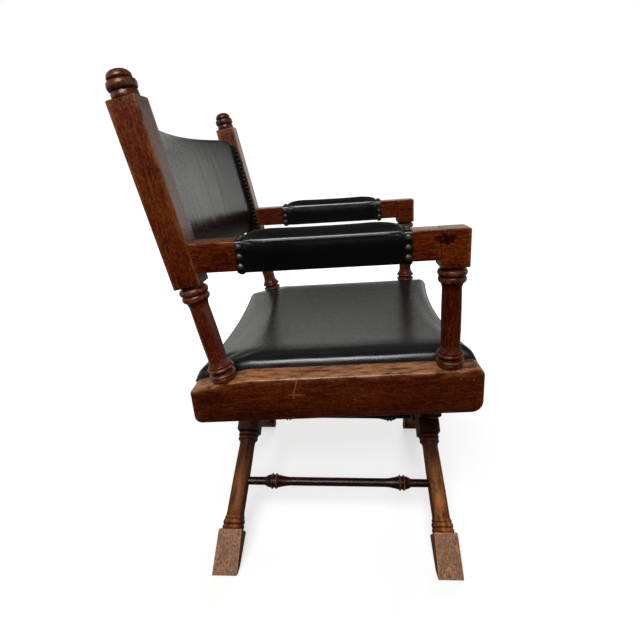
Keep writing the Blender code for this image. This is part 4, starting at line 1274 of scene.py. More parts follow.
@dataclass
class ArmPad:
    """Leather pad wrapped over the arm, domed on top, lips turned under, nailed at both ends."""

    setback: float = 0.0415
    length: float = 0.255
    wall: float = 0.0022
    crown: float = 0.0150
    end_crown: float = 0.0030
    lip: float = 0.012
    band: float = 0.0115
    rise: float = 0.045
    drop: float = 0.0048
    shoulder: float = 0.0024
    dome: float = 1.6
    lean: float = 0.0012
    lean_length: float = 0.016
    round_off: float = 0.0025
    pucker: float = 0.0006
    pucker_width: float = 0.010
    free_from: float = 0.002
    end_wear: float = 0.7
    end_wear_width: float = 0.006
    edge_wear: float = 0.45
    edge_wear_width: float = 0.004
    stations: int = 89
    inflation: Inflation = Inflation(cap=0.0025)

    def crown_at(self, from_end: Array) -> Array:
        """Dome heights above the arm's top, at distances from the nearer end."""
        return self.end_crown + (self.crown - self.end_crown) * edge_roll(from_end - self.band, self.rise)

    def outer_half(self, crown: Array) -> Array:
        """Right half of the outer section for each station, from the lip to the dome's top.

        The flank leans in towards its top with the square of the height and ends below the arm's
        top in a rounded edge. From there the dome falls off with a power of the share of the width.

        Args:
            crown: Dome height at each station.

        Returns:
            Points (stations, n, 2) as X and height.
        """
        outer = SIZES.stock / 2 + SIZES.gap + self.wall
        low = SIZES.arm_bottom - SIZES.gap - self.wall
        high = SIZES.arm_top + SIZES.gap
        round_off = self.round_off
        lip = np.stack([np.linspace(outer - self.lip, outer - round_off, 6), np.full(6, low)], axis=1)
        turn = np.linspace(0.0, math.pi / 2, 6)[1:]
        bend = np.stack([outer - round_off + round_off * np.sin(turn),
                         low + round_off * (1 - np.cos(turn))], axis=1)
        shoulder = high - self.drop
        rising = np.linspace(low + round_off, shoulder, 15)[1:]
        lean = self.lean * np.clip(1.0 - (shoulder - rising) / self.lean_length, 0.0, 1.0) ** 2
        flank = np.stack([outer - lean, rising], axis=1)
        fixed = np.concatenate([lip, bend, flank])
        outer = outer - self.lean
        share = np.sin(np.linspace(math.pi / 2, 0.0, 24)[1:])
        edge = self.drop * edge_roll((1.0 - share) * outer, self.shoulder)
        rise = edge[None, :] + crown[:, None] * (1.0 - share ** self.dome)[None, :]
        dome = np.stack([np.broadcast_to(share * outer, rise.shape), shoulder + rise], axis=-1)
        return np.concatenate([np.broadcast_to(fixed, (len(crown),) + fixed.shape), dome], axis=1)

    def build(self, side: Side, finishes: Finishes) -> None:
        """Make one pad.

        The surface is the product of stations along the arm and a closed section: the outer half
        from lip to crown, its mirror image, and a plain return along the arm. Puckers between
        the nails fade out away from both ends.

        Args:
            side: Side of the chair.
            finishes: Materials.
        """
        along = self.length * (0.5 - 0.5 * np.cos(np.linspace(0.0, math.pi, self.stations)))
        from_end = np.minimum(along, self.length - along)
        right = self.outer_half(self.crown_at(from_end))
        left = right[:, ::-1][:, 1:] * np.array((-1.0, 1.0))
        half = SIZES.stock / 2 + SIZES.gap
        low, high = SIZES.arm_bottom - SIZES.gap, SIZES.arm_top + SIZES.gap
        lip = half + self.wall - self.lip
        back = np.array(((-lip, low), (-half, low), (-half, high), (half, high), (half, low), (lip, low)))
        section = np.concatenate([right, left, np.broadcast_to(back, (len(along),) + back.shape)], axis=1)
        outer_count = right.shape[1] + left.shape[1]
        from_nails = (from_end - self.band - self.pucker_width) / self.pucker_width
        pucker = self.pucker * np.exp(-from_nails ** 2)[:, None]
        wave = np.cos(2 * math.pi * section[:, :outer_count, 1] / (SIZES.arm_depth / 4))
        sign = np.sign(section[:, :outer_count, 0]) * (np.abs(section[:, :outer_count, 0]) > half)
        section[:, :outer_count, 0] -= np.abs(pucker * wave) * sign
        ahead = SIZES.front_post_ahead - SIZES.stock / 2 - self.setback - along
        y = np.broadcast_to(-ahead[:, None], section.shape[:2])
        local = np.stack([section[..., 0], y, section[..., 1]], axis=-1)
        masks = np.zeros(local.shape[:2] + (4,))
        worn_edge = np.exp(-np.abs(section[..., 1] - SIZES.arm_top - self.free_from) / self.edge_wear_width)
        worn_end = np.exp(-from_end / self.end_wear_width)[:, None]
        masks[..., 0] = np.maximum(self.end_wear * worn_end, self.edge_wear * worn_edge)
        carrier = side_carrier(side.sign * SIZES.post_x)
        skin = Skin(f"{side.label}_arm_pad_leather")
        skin.add_grid(carrier.points(local), local, masks)
        piece = skin.build(finishes.pad_leather, PAD_SHARP)
        away = (from_end > self.band + self.free_from)[:, None]
        free = (local[..., 2] > SIZES.arm_top + self.free_from) & away
        free[:, outer_count:] = False
        self.inflation.run(piece, ~free.ravel())
        stand_in(piece, f"{side.label}_frame", f"{side.label}_arm_pad")


@dataclass(frozen=True)
class NailRow:
    """Dome nails: each a shallow cap of revolution with a thin rim, set a little unevenly."""

    radius: float = 0.0046
    height: float = 0.0029
    rim: float = 0.0005
    rim_share: float = 0.97
    tilt: float = 0.035
    spread: Span = (0.95, 1.04)
    spin: Place = (0.31, 0.17, 0.93)
    around: int = 20

    def build(self, name: str, seats: Array, normals: Array, seed: int,
              finish: Material) -> Piece:
        """Make one row of nails.

        A nail's points run with a ring number and an angle. The rings rise over a quarter ellipse
        from the rim to the top. All nails are computed at once, each in its own tilted basis.

        Args:
            name: Piece name.
            seats: Seat of each nail (n, 3).
            normals: Outward direction of each nail (n, 3).
            seed: Seed of the unevenness.
            finish: Material of the heads.

        Returns:
            The row.
        """
        rng = np.random.default_rng(seed)
        rise = np.concatenate([[0.0, 0.0], np.linspace(0.0, math.pi / 2, 8)[1:-1], [math.pi / 2 - 0.02]])
        radius = np.cos(rise) * self.radius
        radius[1] *= self.rim_share
        height = np.sin(rise) * (self.height - self.rim) + self.rim
        height[0] = 0.0
        unit = revolved(radius, height, self.around)
        axis = normals + rng.normal(0.0, self.tilt, normals.shape)
        axis /= np.linalg.norm(axis, axis=1, keepdims=True)
        first = np.cross(axis, np.array(self.spin))
        first /= np.linalg.norm(first, axis=1, keepdims=True)
        second = np.cross(axis, first)
        basis = np.stack([first, second, axis], axis=1) * rng.uniform(*self.spread, (len(seats), 1, 1))
        points = np.einsum("rak,nkj->nraj", unit, basis) + seats[:, None, None, :]
        skin = Skin(name, seed)
        for nail in points:
            skin.add_grid(nail, nail, np.zeros(nail.shape[:2] + (4,)))
        return skin.build(finish, HEAD_SHARP)


@dataclass
class SideFrame:
    """Everything that stays with one rail."""

    side: Side
    finishes: Finishes
    rail_half: float = 0.022
    rail_height: float = 0.076
    rail_front: float = 0.2255
    rail_rounds: tuple[float, ...] = (0.05, 0.006, 0.012, 0.019, 0.010)
    rail_edge: float = 0.0040
    shaft: float = 0.0150
    belly: float = 0.0005
    root: float = 0.0176
    base_beads: Beads = (
        (0.0080, 0.0203), (0.0060, 0.0222), (0.0050, 0.0170), (0.0060, 0.0220), (0.0035, 0.0192))
    head_beads: Beads = ((0.0110, 0.0224), (0.0105, 0.0214))
    neck: float = 0.0040
    cove: float = 0.011
    edge: float = 0.0022
    start_ease: Beads = ((0.0, 0.0022), (0.0004, 0.0006), (0.0012, 0.0))
    collar: Beads = ((0.0, 0.0180), (0.0006, 0.0186), (0.0020, 0.0188), (0.0075, 0.0186), (0.0090, 0.0176))
    finial_bead: tuple[float, ...] = (0.0092, 0.0143, 0.0150, 0.0057)
    under_cap: Beads = ((0.0237, 0.0152), (0.0243, 0.0162), (0.0253, 0.0169))
    finial_cap: Place = (0.0262, 0.0108, 0.0171)
    finial_tip: Span = (0.03702, 0.0004)
    finial_dusk: float = 0.63
    arm_edge: float = 0.0015
    arm_corner: float = 0.0004
    # Arm: golden wear with painted light on its top, painted shade underneath.
    arm_top_wear_and_light: float = 0.50
    arm_underside_shade: float = 0.3
    dusk: float = 0.45
    # post_dusk: painted shade down the rear post's square length.
    post_dusk: float = 0.42
    dusk_fall: float = 0.55
    pad_nail: NailRow = NailRow(0.0049, 0.0032)
    flank_nails: int = 3
    over_nails: tuple[float, ...] = (-0.0140, 0.0, 0.0140)
    over_fan: float = 9.0
    back_nail: NailRow = NailRow(0.0040, 0.0026)
    strip_ends: Span = (0.012, 0.002)
    strip_ahead: float = 0.0038
    strip_rounds: tuple[float, ...] = (0.004, 0.002, 0.002, 0.014)
    strip_edge: float = 0.0004

    @property
    def body(self) -> str:
        """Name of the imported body."""
        return f"{self.side.label}_frame"

    def _name(self, word: str) -> str:
        """Node name of a piece on this side."""
        return f"{self.side.label}_{word}"

    def _seed(self, word: str) -> int:
        """Seed of a piece on this side."""
        return SEEDS[word][self.side.number]

    def _post(self, top: float) -> Spindle:
        """Post: a turned length, then a square one whose far end is eased by a quarter circle.

        Args:
            top: Height of the square's end.

        Returns:
            The post.
        """
        half, start, end = SIZES.stock / 2, SIZES.turned_length, top - self.edge
        base = bead_rows(0.0, 1.0, self.base_beads, self.root, self.cove, self.shaft)
        head = bead_rows(start - self.neck, -1.0, self.head_beads, self.root, self.cove, self.shaft)[::-1]
        shaft = shaft_rows(base[-1], head[0], self.belly)
        spindle = Spindle().turned([(0.0, 0.8 * self.root), *base, *shaft, *head, (start, self.root)])
        for along, inset in self.start_ease:
            spindle.square(start + along, half - inset, half - inset)
        for step in np.linspace(0.06, 1.0, 14):
            spindle.square(start + (end - start) * step, half, half)
        for angle in np.linspace(0.0, math.pi / 2, 6)[1:]:
            width = half - self.edge * (1.0 - math.cos(angle))
            spindle.square(top - self.edge * (1.0 - math.sin(angle)), width, width)
        return spindle.square(top, half - 2.2 * self.edge, half - 2.2 * self.edge)

    def rail(self) -> None:
        """Build the side rail: rounded ends, top ramped down under the rear post."""
        drop = SIZES.ramp_length * math.tan(SIZES.lean)
        places = ((SIZES.ramp_length - SIZES.rail_rear, 0.0), (-SIZES.rail_rear, -drop),
                  (-SIZES.rail_rear, -self.rail_height), (self.rail_front, -self.rail_height),
                  (self.rail_front, 0.0))
        corners = [(*place, radius) for place, radius in zip(places, self.rail_rounds)]
        plank = Plank(corners, self.rail_half, self.rail_edge, 12)
        carrier = side_carrier(self.side.sign * (SIZES.outer_face - self.rail_half))
        finish = self.finishes.scratched_rail if self.side is Side.RIGHT else self.finishes.rail
        piece = plank.skin(self._name("rail_wood"), carrier, self._seed("rail")).build(finish)
        stand_in(piece, self.body, self._name("side_rail"))

    def front_post(self) -> None:
        """Build the front post: turned below, then a square block with the arm's golden wear and painted
        light on top.
        """
        carrier = Carrier.at((0.0, -SIZES.front_post_ahead, SIZES.gap),
                             parent=side_carrier(self.side.sign * SIZES.post_x))
        points, masks = self._post(SIZES.arm_top).grid(self.dusk)
        block = points[..., 2:] >= SIZES.turned_length
        toward_arm = np.clip(points[..., 1] / (SIZES.stock / 2), 0.0, 1.0)
        masks[..., 0] *= 1.0 - toward_arm * block[..., 0]
        # The block's top takes the arm's golden wear and painted light.
        lit_worn_top = points[..., 2] > SIZES.arm_top - 0.7 * self.edge
        masks[..., 1] *= ~lit_worn_top
        masks[..., 3] = self.arm_top_wear_and_light * lit_worn_top
        skin = Skin(self._name("front_post_wood"), self._seed("front_post"))
        skin.add_grid(carrier.points(points), np.where(block, points[..., [0, 2, 1]], points), masks)
        finish = self.finishes.scuffed_arm if self.side is Side.RIGHT else self.finishes.arm
        stand_in(skin.build(finish), self.body, self._name("front_post"))

    def rear_post(self) -> None:
        """Build the rear post: turned below, then a long square length painted darker downward as shade."""
        carrier = Carrier.at((0.0, 0.0, SIZES.gap), parent=lean_carrier(self.side.sign * SIZES.post_x))
        points, masks = self._post(SIZES.rear_post_top).grid(self.dusk)
        # Painted shade: the square length darkens towards its lower end.
        fall = (SIZES.rear_post_top - points[..., 2]) / (SIZES.rear_post_top - SIZES.turned_length)
        shaded = self.post_dusk * np.clip(fall / self.dusk_fall, 0.0, 1.0) * (fall < 1.0)
        masks[..., 1] = np.maximum(masks[..., 1], shaded)
        skin = Skin(self._name("rear_post_wood"), self._seed("rear_post"))
        skin.add_grid(carrier.points(points), points, masks)
        stand_in(skin.build(self.finishes.wood), self.body, self._name("rear_post"))

    def finial(self) -> None:
        """Build the finial: collar, large bead and mushroom cap, all turned.

        The bead rises with a power of the sine of one angle, and the cap closes with a power of
        the cosine of another.
        """
        angle, rise = np.linspace(0.0, math.pi, 17), np.linspace(0.0, math.pi / 2, 14)
        start, length, root, crown = self.finial_bead
        bead = zip((start + length * (0.5 - 0.5 * np.cos(angle))).tolist(),
                   (root + crown * np.sin(angle) ** 0.75).tolist())
        start, height, radius = self.finial_cap
        cap = list(zip((start + height * np.sin(rise)).tolist(), (radius * np.cos(rise) ** 0.85).tolist()))
        spindle = Spindle().turned([*self.collar, *bead, *self.under_cap, *cap[:-1], self.finial_tip])
        carrier = Carrier.at((0.0, 0.0, SIZES.rear_post_top + 2 * SIZES.gap),
                             parent=lean_carrier(self.side.sign * SIZES.post_x))
        points, masks = spindle.grid(self.finial_dusk)
        skin = Skin(self._name("finial_wood"), self._seed("finial"))
        skin.add_grid(carrier.points(points), points, masks)
        stand_in(skin.build(self.finishes.wood), self.body, self._name("finial"))

    def arm(self) -> None:
        """Build the arm: a square bar whose rear end follows the leaning post."""
        top, bottom = SIZES.arm_top, SIZES.arm_bottom
        slant = (SIZES.stock / 2 + SIZES.gap) / math.cos(SIZES.lean)
        rear = [slant - SIZES.rear_post_behind - height * math.tan(SIZES.lean) for height in (top, bottom)]
        front = SIZES.front_post_ahead - SIZES.stock / 2 - SIZES.gap
        places = ((rear[0], top), (rear[1], bottom), (front, bottom), (front, top))
        corners = [(*place, self.arm_corner) for place in places]
        plank = Plank(corners, SIZES.stock / 2, self.arm_edge, 4, self.arm_top_wear_and_light, self.arm_underside_shade)
        carrier = side_carrier(self.side.sign * SIZES.post_x)
        finish = self.finishes.scuffed_arm if self.side is Side.RIGHT else self.finishes.arm
        piece = plank.skin(self._name("arm_wood"), carrier, self._seed("arm")).build(finish)
        stand_in(piece, self.body, self._name("arm"))

    def pad_nails(self, pad: ArmPad) -> None:
        """Build the nail rows round the pad's ends: up both flanks, over the top and under the lips.

        Args:
            pad: Pad that they hold.
        """
        flank = SIZES.stock / 2 + SIZES.gap + pad.wall
        pitch = SIZES.arm_depth / self.flank_nails
        high, low = SIZES.arm_top + SIZES.gap, SIZES.arm_bottom - SIZES.gap - pad.wall
        over = [(x, high + pad.end_crown * (1.0 - (x / flank) ** 2)) for x in self.over_nails]
        nails = [((sign * flank, 0.0, SIZES.arm_bottom + pitch * (step + 0.5)), (sign, 0.0, 0.0))
                 for sign in (-1.0, 1.0) for step in range(self.flank_nails)]
        nails += [((x, 0.0, height), (x * self.over_fan, 0.0, 1.0)) for x, height in over]
        nails += [((sign * (flank - pad.lip / 2), 0.0, low), (0.0, 0.0, -1.0)) for sign in (-1.0, 1.0)]
        seats, normals = np.array(nails).swapaxes(0, 1)
        normals = normals / np.linalg.norm(normals, axis=1, keepdims=True)
        carrier = side_carrier(self.side.sign * SIZES.post_x)
        places = (pad.band / 2, pad.length - pad.band / 2)
        for end, behind, seed in zip(End, places, SEEDS["pad_nails"]):
            shift = np.array((0.0, pad.setback + behind - SIZES.front_post_ahead + SIZES.stock / 2, 0.0))
            name = self._name(f"arm_{end.label}_nail_heads")
            piece = self.pad_nail.build(name, carrier.points(seats + shift), carrier.vectors(normals), seed,
                                        self.finishes.brass)
            stand_in(piece, self.body, self._name(f"arm_{end.label}_nails"))

    def back_edge(self, back: Back) -> None:
        """Build the nails down the back's edge, and the leather strip under them on the post.

        Args:
            back: Back that they hold.
        """
        lean = lean_carrier(self.side.sign * SIZES.post_x)
        inward, face = -self.side.sign, SIZES.stock / 2 + SIZES.gap
        first = back.top + back.corner
        drop = first + (back.bottom - first) / back.pulls * (np.arange(back.pulls) + 0.5)
        fore = back.edge_fore + back.nail_ahead
        seats = np.stack([np.full(back.pulls, inward * (face + back.strip)), np.full(back.pulls, -fore),
                          SIZES.rear_post_top - drop], axis=1)
        normals = np.tile((inward, 0.0, 0.0), (back.pulls, 1))
        piece = self.back_nail.build(self._name("back_nail_heads"), lean.points(seats), lean.vectors(normals),
                                     self._seed("back_nails"), self.finishes.shaded_tack_brass)
        stand_in(piece, self.body, self._name("back_nails"))
        top = SIZES.rear_post_top - back.top - self.strip_ends[0]
        bottom = SIZES.rear_post_top - back.bottom + self.strip_ends[1]
        ahead, behind = fore + self.strip_ahead, back.edge_fore - back.edge_depth
        places = ((behind, top), (behind, bottom), (ahead, bottom), (ahead, top))
        corners = [(*place, radius) for place, radius in zip(places, self.strip_rounds)]
        strip = Plank(corners, back.strip / 2, self.strip_edge, 8, 0.0, 0.0)
        carrier = Carrier.at((inward * (face + back.strip / 2), 0.0, 0.0), parent=lean)
        skin = strip.skin(self._name("back_strip_leather"), carrier, self._seed("back_strip"))
        piece = skin.build(self.finishes.leather)
        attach(piece, self.body)
        LOG.info("%s rides on %s", piece.name, self.body)


@dataclass
class LegPair:
    """The two legs that stand on one side, and their stretcher."""

    side: Side
    finishes: Finishes
    splay: float = 0.045
    lap_clearance: float = 0.0008
    cheek: float = 0.0108
    lap_gap: float = 0.0004
    lap_step: float = 0.0001
    shaft_foot: float = 0.0180
    shaft_top: float = 0.0169
    belly: float = 0.0004
    root: float = 0.0188
    foot_beads: Beads = ((0.0095, 0.0222), (0.0100, 0.0218), (0.0060, 0.0202))
    block_beads: Beads = ((0.0100, 0.0225), (0.0085, 0.0218))
    cove: float = 0.009
    edge: float = 0.002
    head_radius: float = 0.021
    head_length: float = 0.036
    head_sweep: float = math.radians(82.0)
    foot_length: float = 0.094
    foot_edge: float = 0.0024
    toe_reach: float = 0.2636
    toe_angle: float = math.radians(61.0)
    toe_nose: float = 0.004
    foot_kick: float = 0.045
    foot_flare: float = 0.003
    bare_facing: Span = (0.45, 0.75)
    foot_wear: float = 0.25
    foot_gold: float = 0.35
    # dusk paints the rail's shadow on the upper leg, fading over fade; flank paints shade on the flanks.
    dusk: float = 0.55
    fade: float = 0.105
    flank: float = 0.80
    shaded_flank_facing: Span = (0.55, 0.95)
    gold: dict[End, float] = field(default_factory=lambda: {End.FRONT: 0.95, End.REAR: 0.42})
    stretcher_from_floor: float = 0.1897
    stretcher_inset: float = 0.0165
    slim: float = 0.0084
    plain: float = 0.0089
    rings_inset: float = 0.0565
    ring_from_middle: float = 0.0042
    ring: Beads = ((0.0028, 0.0135), (0.0014, 0.0152), (0.0005, 0.0163),
                   (-0.0005, 0.0163), (-0.0014, 0.0152), (-0.0028, 0.0135))

    @property
    def body(self) -> str:
        """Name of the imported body."""
        return f"{self.side.label}_foot_legs"

    @property
    def lower(self) -> float:
        """Length of the leg's axis from the floor to the crossing."""
        return SIZES.crossing_height / math.sin(SIZES.leg_angle)

    @property
    def lap_reach(self) -> Span:
        """Reach of the lap from the crossing on the leg's two faces, set by the open and the folded chair."""
        half, folded = SIZES.leg_stock / 2, SIZES.leg_angle + SIZES.fold_limit
        return (half / math.tan(SIZES.leg_angle) + self.lap_clearance,
                half * math.tan(folded) + self.lap_clearance)

    @property
    def block(self) -> float:
        """Half-length of the square block at the crossing."""
        return self.lap_reach[1] + self.cheek

    @property
    def mirror(self) -> Array:
        """Factors that turn the right leg's coordinates into this side's."""
        return np.array((-self.side.sign, 1.0, 1.0))

    def _carrier(self, end: End) -> Carrier:
        """Frame of one leg: origin at the crossing, Z up the leg."""
        swing = -self.side.sign * (math.pi / 2 - SIZES.leg_angle)
        return Carrier.at((0.0, end.plane, SIZES.crossing_height), turn_y=swing)

    def _spindle(self, end: End) -> Spindle:
        """Rows of one leg from the foot's top to the rounded head, half-lapped in the middle.

        Args:
            end: Front or rear leg.

        Returns:
            The leg without its foot.
        """
        half, edge = SIZES.leg_stock / 2, self.edge
        block, lap = self.block, sum(self.lap_reach) / 2
        foot_top = self.foot_length - self.lower
        low = bead_rows(foot_top, 1.0, self.foot_beads, self.root, self.cove, self.shaft_foot)
        below = bead_rows(-block, -1.0, self.block_beads, self.root, self.cove, self.shaft_top)[::-1]
        above = bead_rows(block, 1.0, self.block_beads, self.root, self.cove, self.shaft_top)
        spindle = Spindle().turned([*low, *shaft_rows(low[-1], below[0], self.belly), *below])
        kept = -end.outward if self.side is Side.RIGHT else end.outward
        thin = (half - self.lap_gap / 2) / 2
        shift = kept * (half - thin)
        spindle.square(-block, half - edge, half - edge).square(-block + edge, half, half)
        spindle.square(-lap - self.lap_step, half, half)
        for along in np.linspace(-lap, lap, 13):
            spindle.square(float(along), half, thin, shift)
        spindle.square(lap + self.lap_step, half, half)
        spindle.square(block - edge, half, half).square(block, half - edge, half - edge)
        start = SIZES.upper_leg - self.head_length
        neck = [(start - self.cove, self.shaft_top), (start - 0.3 * self.cove, self.root), (start, self.root)]
        spindle.turned([*above, *shaft_rows(above[-1], neck[0], 0.0), *neck])
        spindle.square(start, self.head_radius - edge, half - edge)
        spindle.square(start + edge, self.head_radius, half)
        for angle in np.linspace(0.0, self.head_sweep, 14):
            spindle.square(SIZES.upper_leg + self.head_radius * math.sin(angle),
                           self.head_radius * math.cos(angle), half)
        return spindle

    def _shear(self, points: Array, end: End) -> Array:
        """Carry points below the block outward, and those of the foot further out.

        Args:
            points: Leg coordinates, changed in place.
            end: Front or rear leg.

        Returns:
            The same points.
        """
        below = np.maximum(0.0, -points[..., 2] - self.block)
        foot = np.maximum(0.0, -points[..., 2] - self.lower + self.foot_length)
        points[..., 1] += end.outward * (self.splay * below + self.foot_kick * foot)
        return points

    def _foot_outline(self) -> list[Vector]:
        """Side outline of the foot: a length of the leg cut by the floor, the nose and the toe.

        Returns:
            Points in leg coordinates, X across and Y along.
        """
        across = Vector((math.sin(SIZES.leg_angle), -math.cos(SIZES.leg_angle)))
        along = Vector((math.cos(SIZES.leg_angle), math.sin(SIZES.leg_angle)))
        half, top, end = SIZES.leg_stock / 2, self.foot_length - self.lower, -self.lower - SIZES.leg_stock
        outline = [Vector((half, top)), Vector((-half, top)), Vector((-half, end)), Vector((half, end))]
        toe = Vector((-self.toe_reach, 0.0))
        slope = Vector((-math.sin(self.toe_angle), math.cos(self.toe_angle)))
        cuts = ((toe, Vector((0.0, -1.0))), (toe, Vector((-1.0, 0.0))),
                (toe + Vector((0.0, self.toe_nose)), slope))
        for point, normal in cuts:
            point = point - Vector((0.0, SIZES.crossing_height))
            point = Vector((point.dot(across), point.dot(along)))
            normal = Vector((normal.dot(across), normal.dot(along)))
            kept: list[Vector] = []
            for here, following in zip(outline, outline[1:] + outline[:1]):
                a, b = (here - point).dot(normal), (following - point).dot(normal)
                if a <= 0.0:
                    kept.append(here)
                if a * b < 0.0:
                    kept.append(here + (following - here) * a / (a - b))
            outline = kept
        return outline

    def _add_foot(self, skin: Skin, end: End) -> None:
        """Add the wedge foot: its outline, thick along Y, with every edge eased; its toe face is bare.

        Args:
            skin: Skin of the leg.
            end: Front or rear leg.
        """
        shape = bmesh.new()
        outline = self._foot_outline()
        top = self.foot_length - self.lower
        flare = self.foot_flare / (self.foot_length + SIZES.leg_stock)
        loops = [[shape.verts.new((point.x, sign * (SIZES.leg_stock / 2 + flare * (top - point.y)), point.y))
                  for point in outline] for sign in (-1.0, 1.0)]
        for index in range(len(outline)):
            following = (index + 1) % len(outline)
            shape.faces.new((loops[0][index], loops[0][following], loops[1][following], loops[1][index]))
        shape.faces.new(loops[0][::-1])
        shape.faces.new(loops[1])
        bmesh.ops.recalc_face_normals(shape, faces=shape.faces[:])
        bmesh.ops.bevel(shape, geom=shape.edges[:], offset=self.foot_edge, segments=3, profile=0.5,
                        affect="EDGES")
        bmesh.ops.triangulate(shape, faces=shape.faces[:])
        shape.normal_update()
        shape.verts.index_update()
        points = np.array([vert.co for vert in shape.verts])
        faces = [[vert.index for vert in face.verts] for face in shape.faces]
        normals = np.array([vert.normal for vert in shape.verts])
        shape.free()
        swing = self.toe_angle - SIZES.leg_angle
        facing = -normals[:, 0] * math.cos(swing) - normals[:, 2] * math.sin(swing)
        masks = np.zeros((len(points), 4))
        masks[:, 2] = np.interp(facing, self.bare_facing, (0.0, 1.0))
        turned = 1.0 - np.maximum(np.abs(normals).max(axis=1), facing)
        masks[:, 0] = np.clip(turned / self.foot_wear, 0.0, 1.0)
        masks[:, 3] = self.foot_gold
        skin.add(self._carrier(end).points(self._shear(points * self.mirror, end)), points, masks, faces)

    def leg(self, end: End) -> None:
        """Build one leg with its foot.

        The lap's shoulders slant. Below the block the rail's shadow is painted as shade that fades
        out downward into golden wear, and the flanks are darkened with painted shade.

        Args:
            end: Front or rear leg.
        """
        points, masks = self._spindle(end).grid()
        grain = points.copy()
        lower = np.clip((-points[..., 2] - self.block) / self.fade, 0.0, 1.0)
        near, far = self.lap_reach
        lapped = np.abs(points[..., 2]) < (near + far) / 2 + 2 * self.lap_step
        points[..., 2] -= np.where(lapped, (far - near) / SIZES.leg_stock * points[..., 0], 0.0)
        # Painted shade: the rail's shadow near the block and darker flanks; golden wear lies outside it.
        aside = np.abs(points[..., 1]) / np.maximum(np.hypot(points[..., 0], points[..., 1]), 1e-6)
        flank = self.flank * lower * np.interp(aside, self.shaded_flank_facing, (0.0, 1.0))
        masks[..., 1] = np.maximum(masks[..., 1], np.maximum(self.dusk * (1.0 - lower), flank))
        masks[..., 3] = self.gold[end] * lower * (1.0 - masks[..., 1])
        node = f"{end.label}_{self.side.label}_leg"
        skin = Skin(f"{node}_wood", SEEDS[f"{end.label}_leg"][self.side.number])
        skin.add_grid(self._carrier(end).points(self._shear(points * self.mirror, end)), grain, masks)
        self._add_foot(skin, end)
        stand_in(skin.build(self.finishes.leg, TURNED_SHARP), self.body, node)

    def stretcher(self) -> None:
        """Build the stretcher: slim ends, a swelling with two sharp rings near each end, a plain middle.

        The swelling rises and falls with the sine of a quarter turn.
        """
        down = self.lower - self.stretcher_from_floor
        shift = self.splay * (down - self.block)
        front, rear = End.FRONT.plane - shift, End.REAR.plane + shift
        half = (rear - front) / 2 - self.stretcher_inset
        centre = half - self.rings_inset
        first: Profile = [(half, self.slim - 0.0001), (half - 0.01, self.slim - 0.0001)]
        first += [(along, self.slim) for along in np.linspace(centre + 0.026, centre + 0.020, 3).tolist()]
        for step in np.linspace(0.0, 1.0, 9).tolist():
            first.append((centre + 0.020 - 0.0125 * step, self.slim + 0.0049 * math.sin(step * math.pi / 2)))
        for middle in (centre + self.ring_from_middle, centre - self.ring_from_middle):
            first += [(middle + along, radius) for along, radius in self.ring]
        for step in np.linspace(0.0, 1.0, 12).tolist():
            first.append((centre - 0.0078 - 0.030 * step,
                          self.plain + 0.0044 * (1.0 - math.sin(step * math.pi / 2))))
        first += [(along, self.plain) for along in np.linspace(centre - 0.045, 0.0, 8).tolist()]
        other = [(-along, radius) for along, radius in first[-2::-1]]
        local, masks = Spindle().turned((first + other)[::-1]).grid()
        place = np.array((self.side.sign * down * math.cos(SIZES.leg_angle), (front + rear) / 2,
                          SIZES.crossing_height - down * math.sin(SIZES.leg_angle)))
        node = f"{self.side.label}_stretcher"
        skin = Skin(f"{node}_wood", SEEDS["stretcher"][self.side.number])
        skin.add_grid(local[..., [0, 2, 1]] + place, local, masks)
        stand_in(skin.build(self.finishes.stretcher, TURNED_SHARP), self.body, node)


@dataclass(frozen=True)
class Head:
    """Turned head: its rim's radius, its height and whether a slot crosses it."""

    radius: float
    height: float
    slotted: bool = True
    rim: float = 0.18
    slot_half: float = 0.11
    slot_depth: float = 0.32
    around: int = 40

    def grid(self) -> Array:
        """Head of revolution: rim, quarter-ellipse dome, and a slot pressed across it.

        Returns:
            Points (rings, around, 3), the seat at the origin and Z away from the wood.
        """
        rise = np.linspace(0.0, math.pi / 2, 14)[:-1]
        ring = self.radius * np.concatenate([[1.0], np.cos(rise) ** 0.9, [0.02]])
        up = self.height * np.concatenate([[0.0], self.rim + (1.0 - self.rim) * np.sin(rise), [1.0]])
        local = revolved(ring, up, self.around)
        if self.slotted:
            depth = np.clip(1.2 - np.abs(local[..., 1]) / (self.slot_half * self.radius), 0.0, 1.0)
            local[..., 2] -= self.slot_depth * self.height * depth * (local[..., 2] > 0.5 * self.height)
        return local


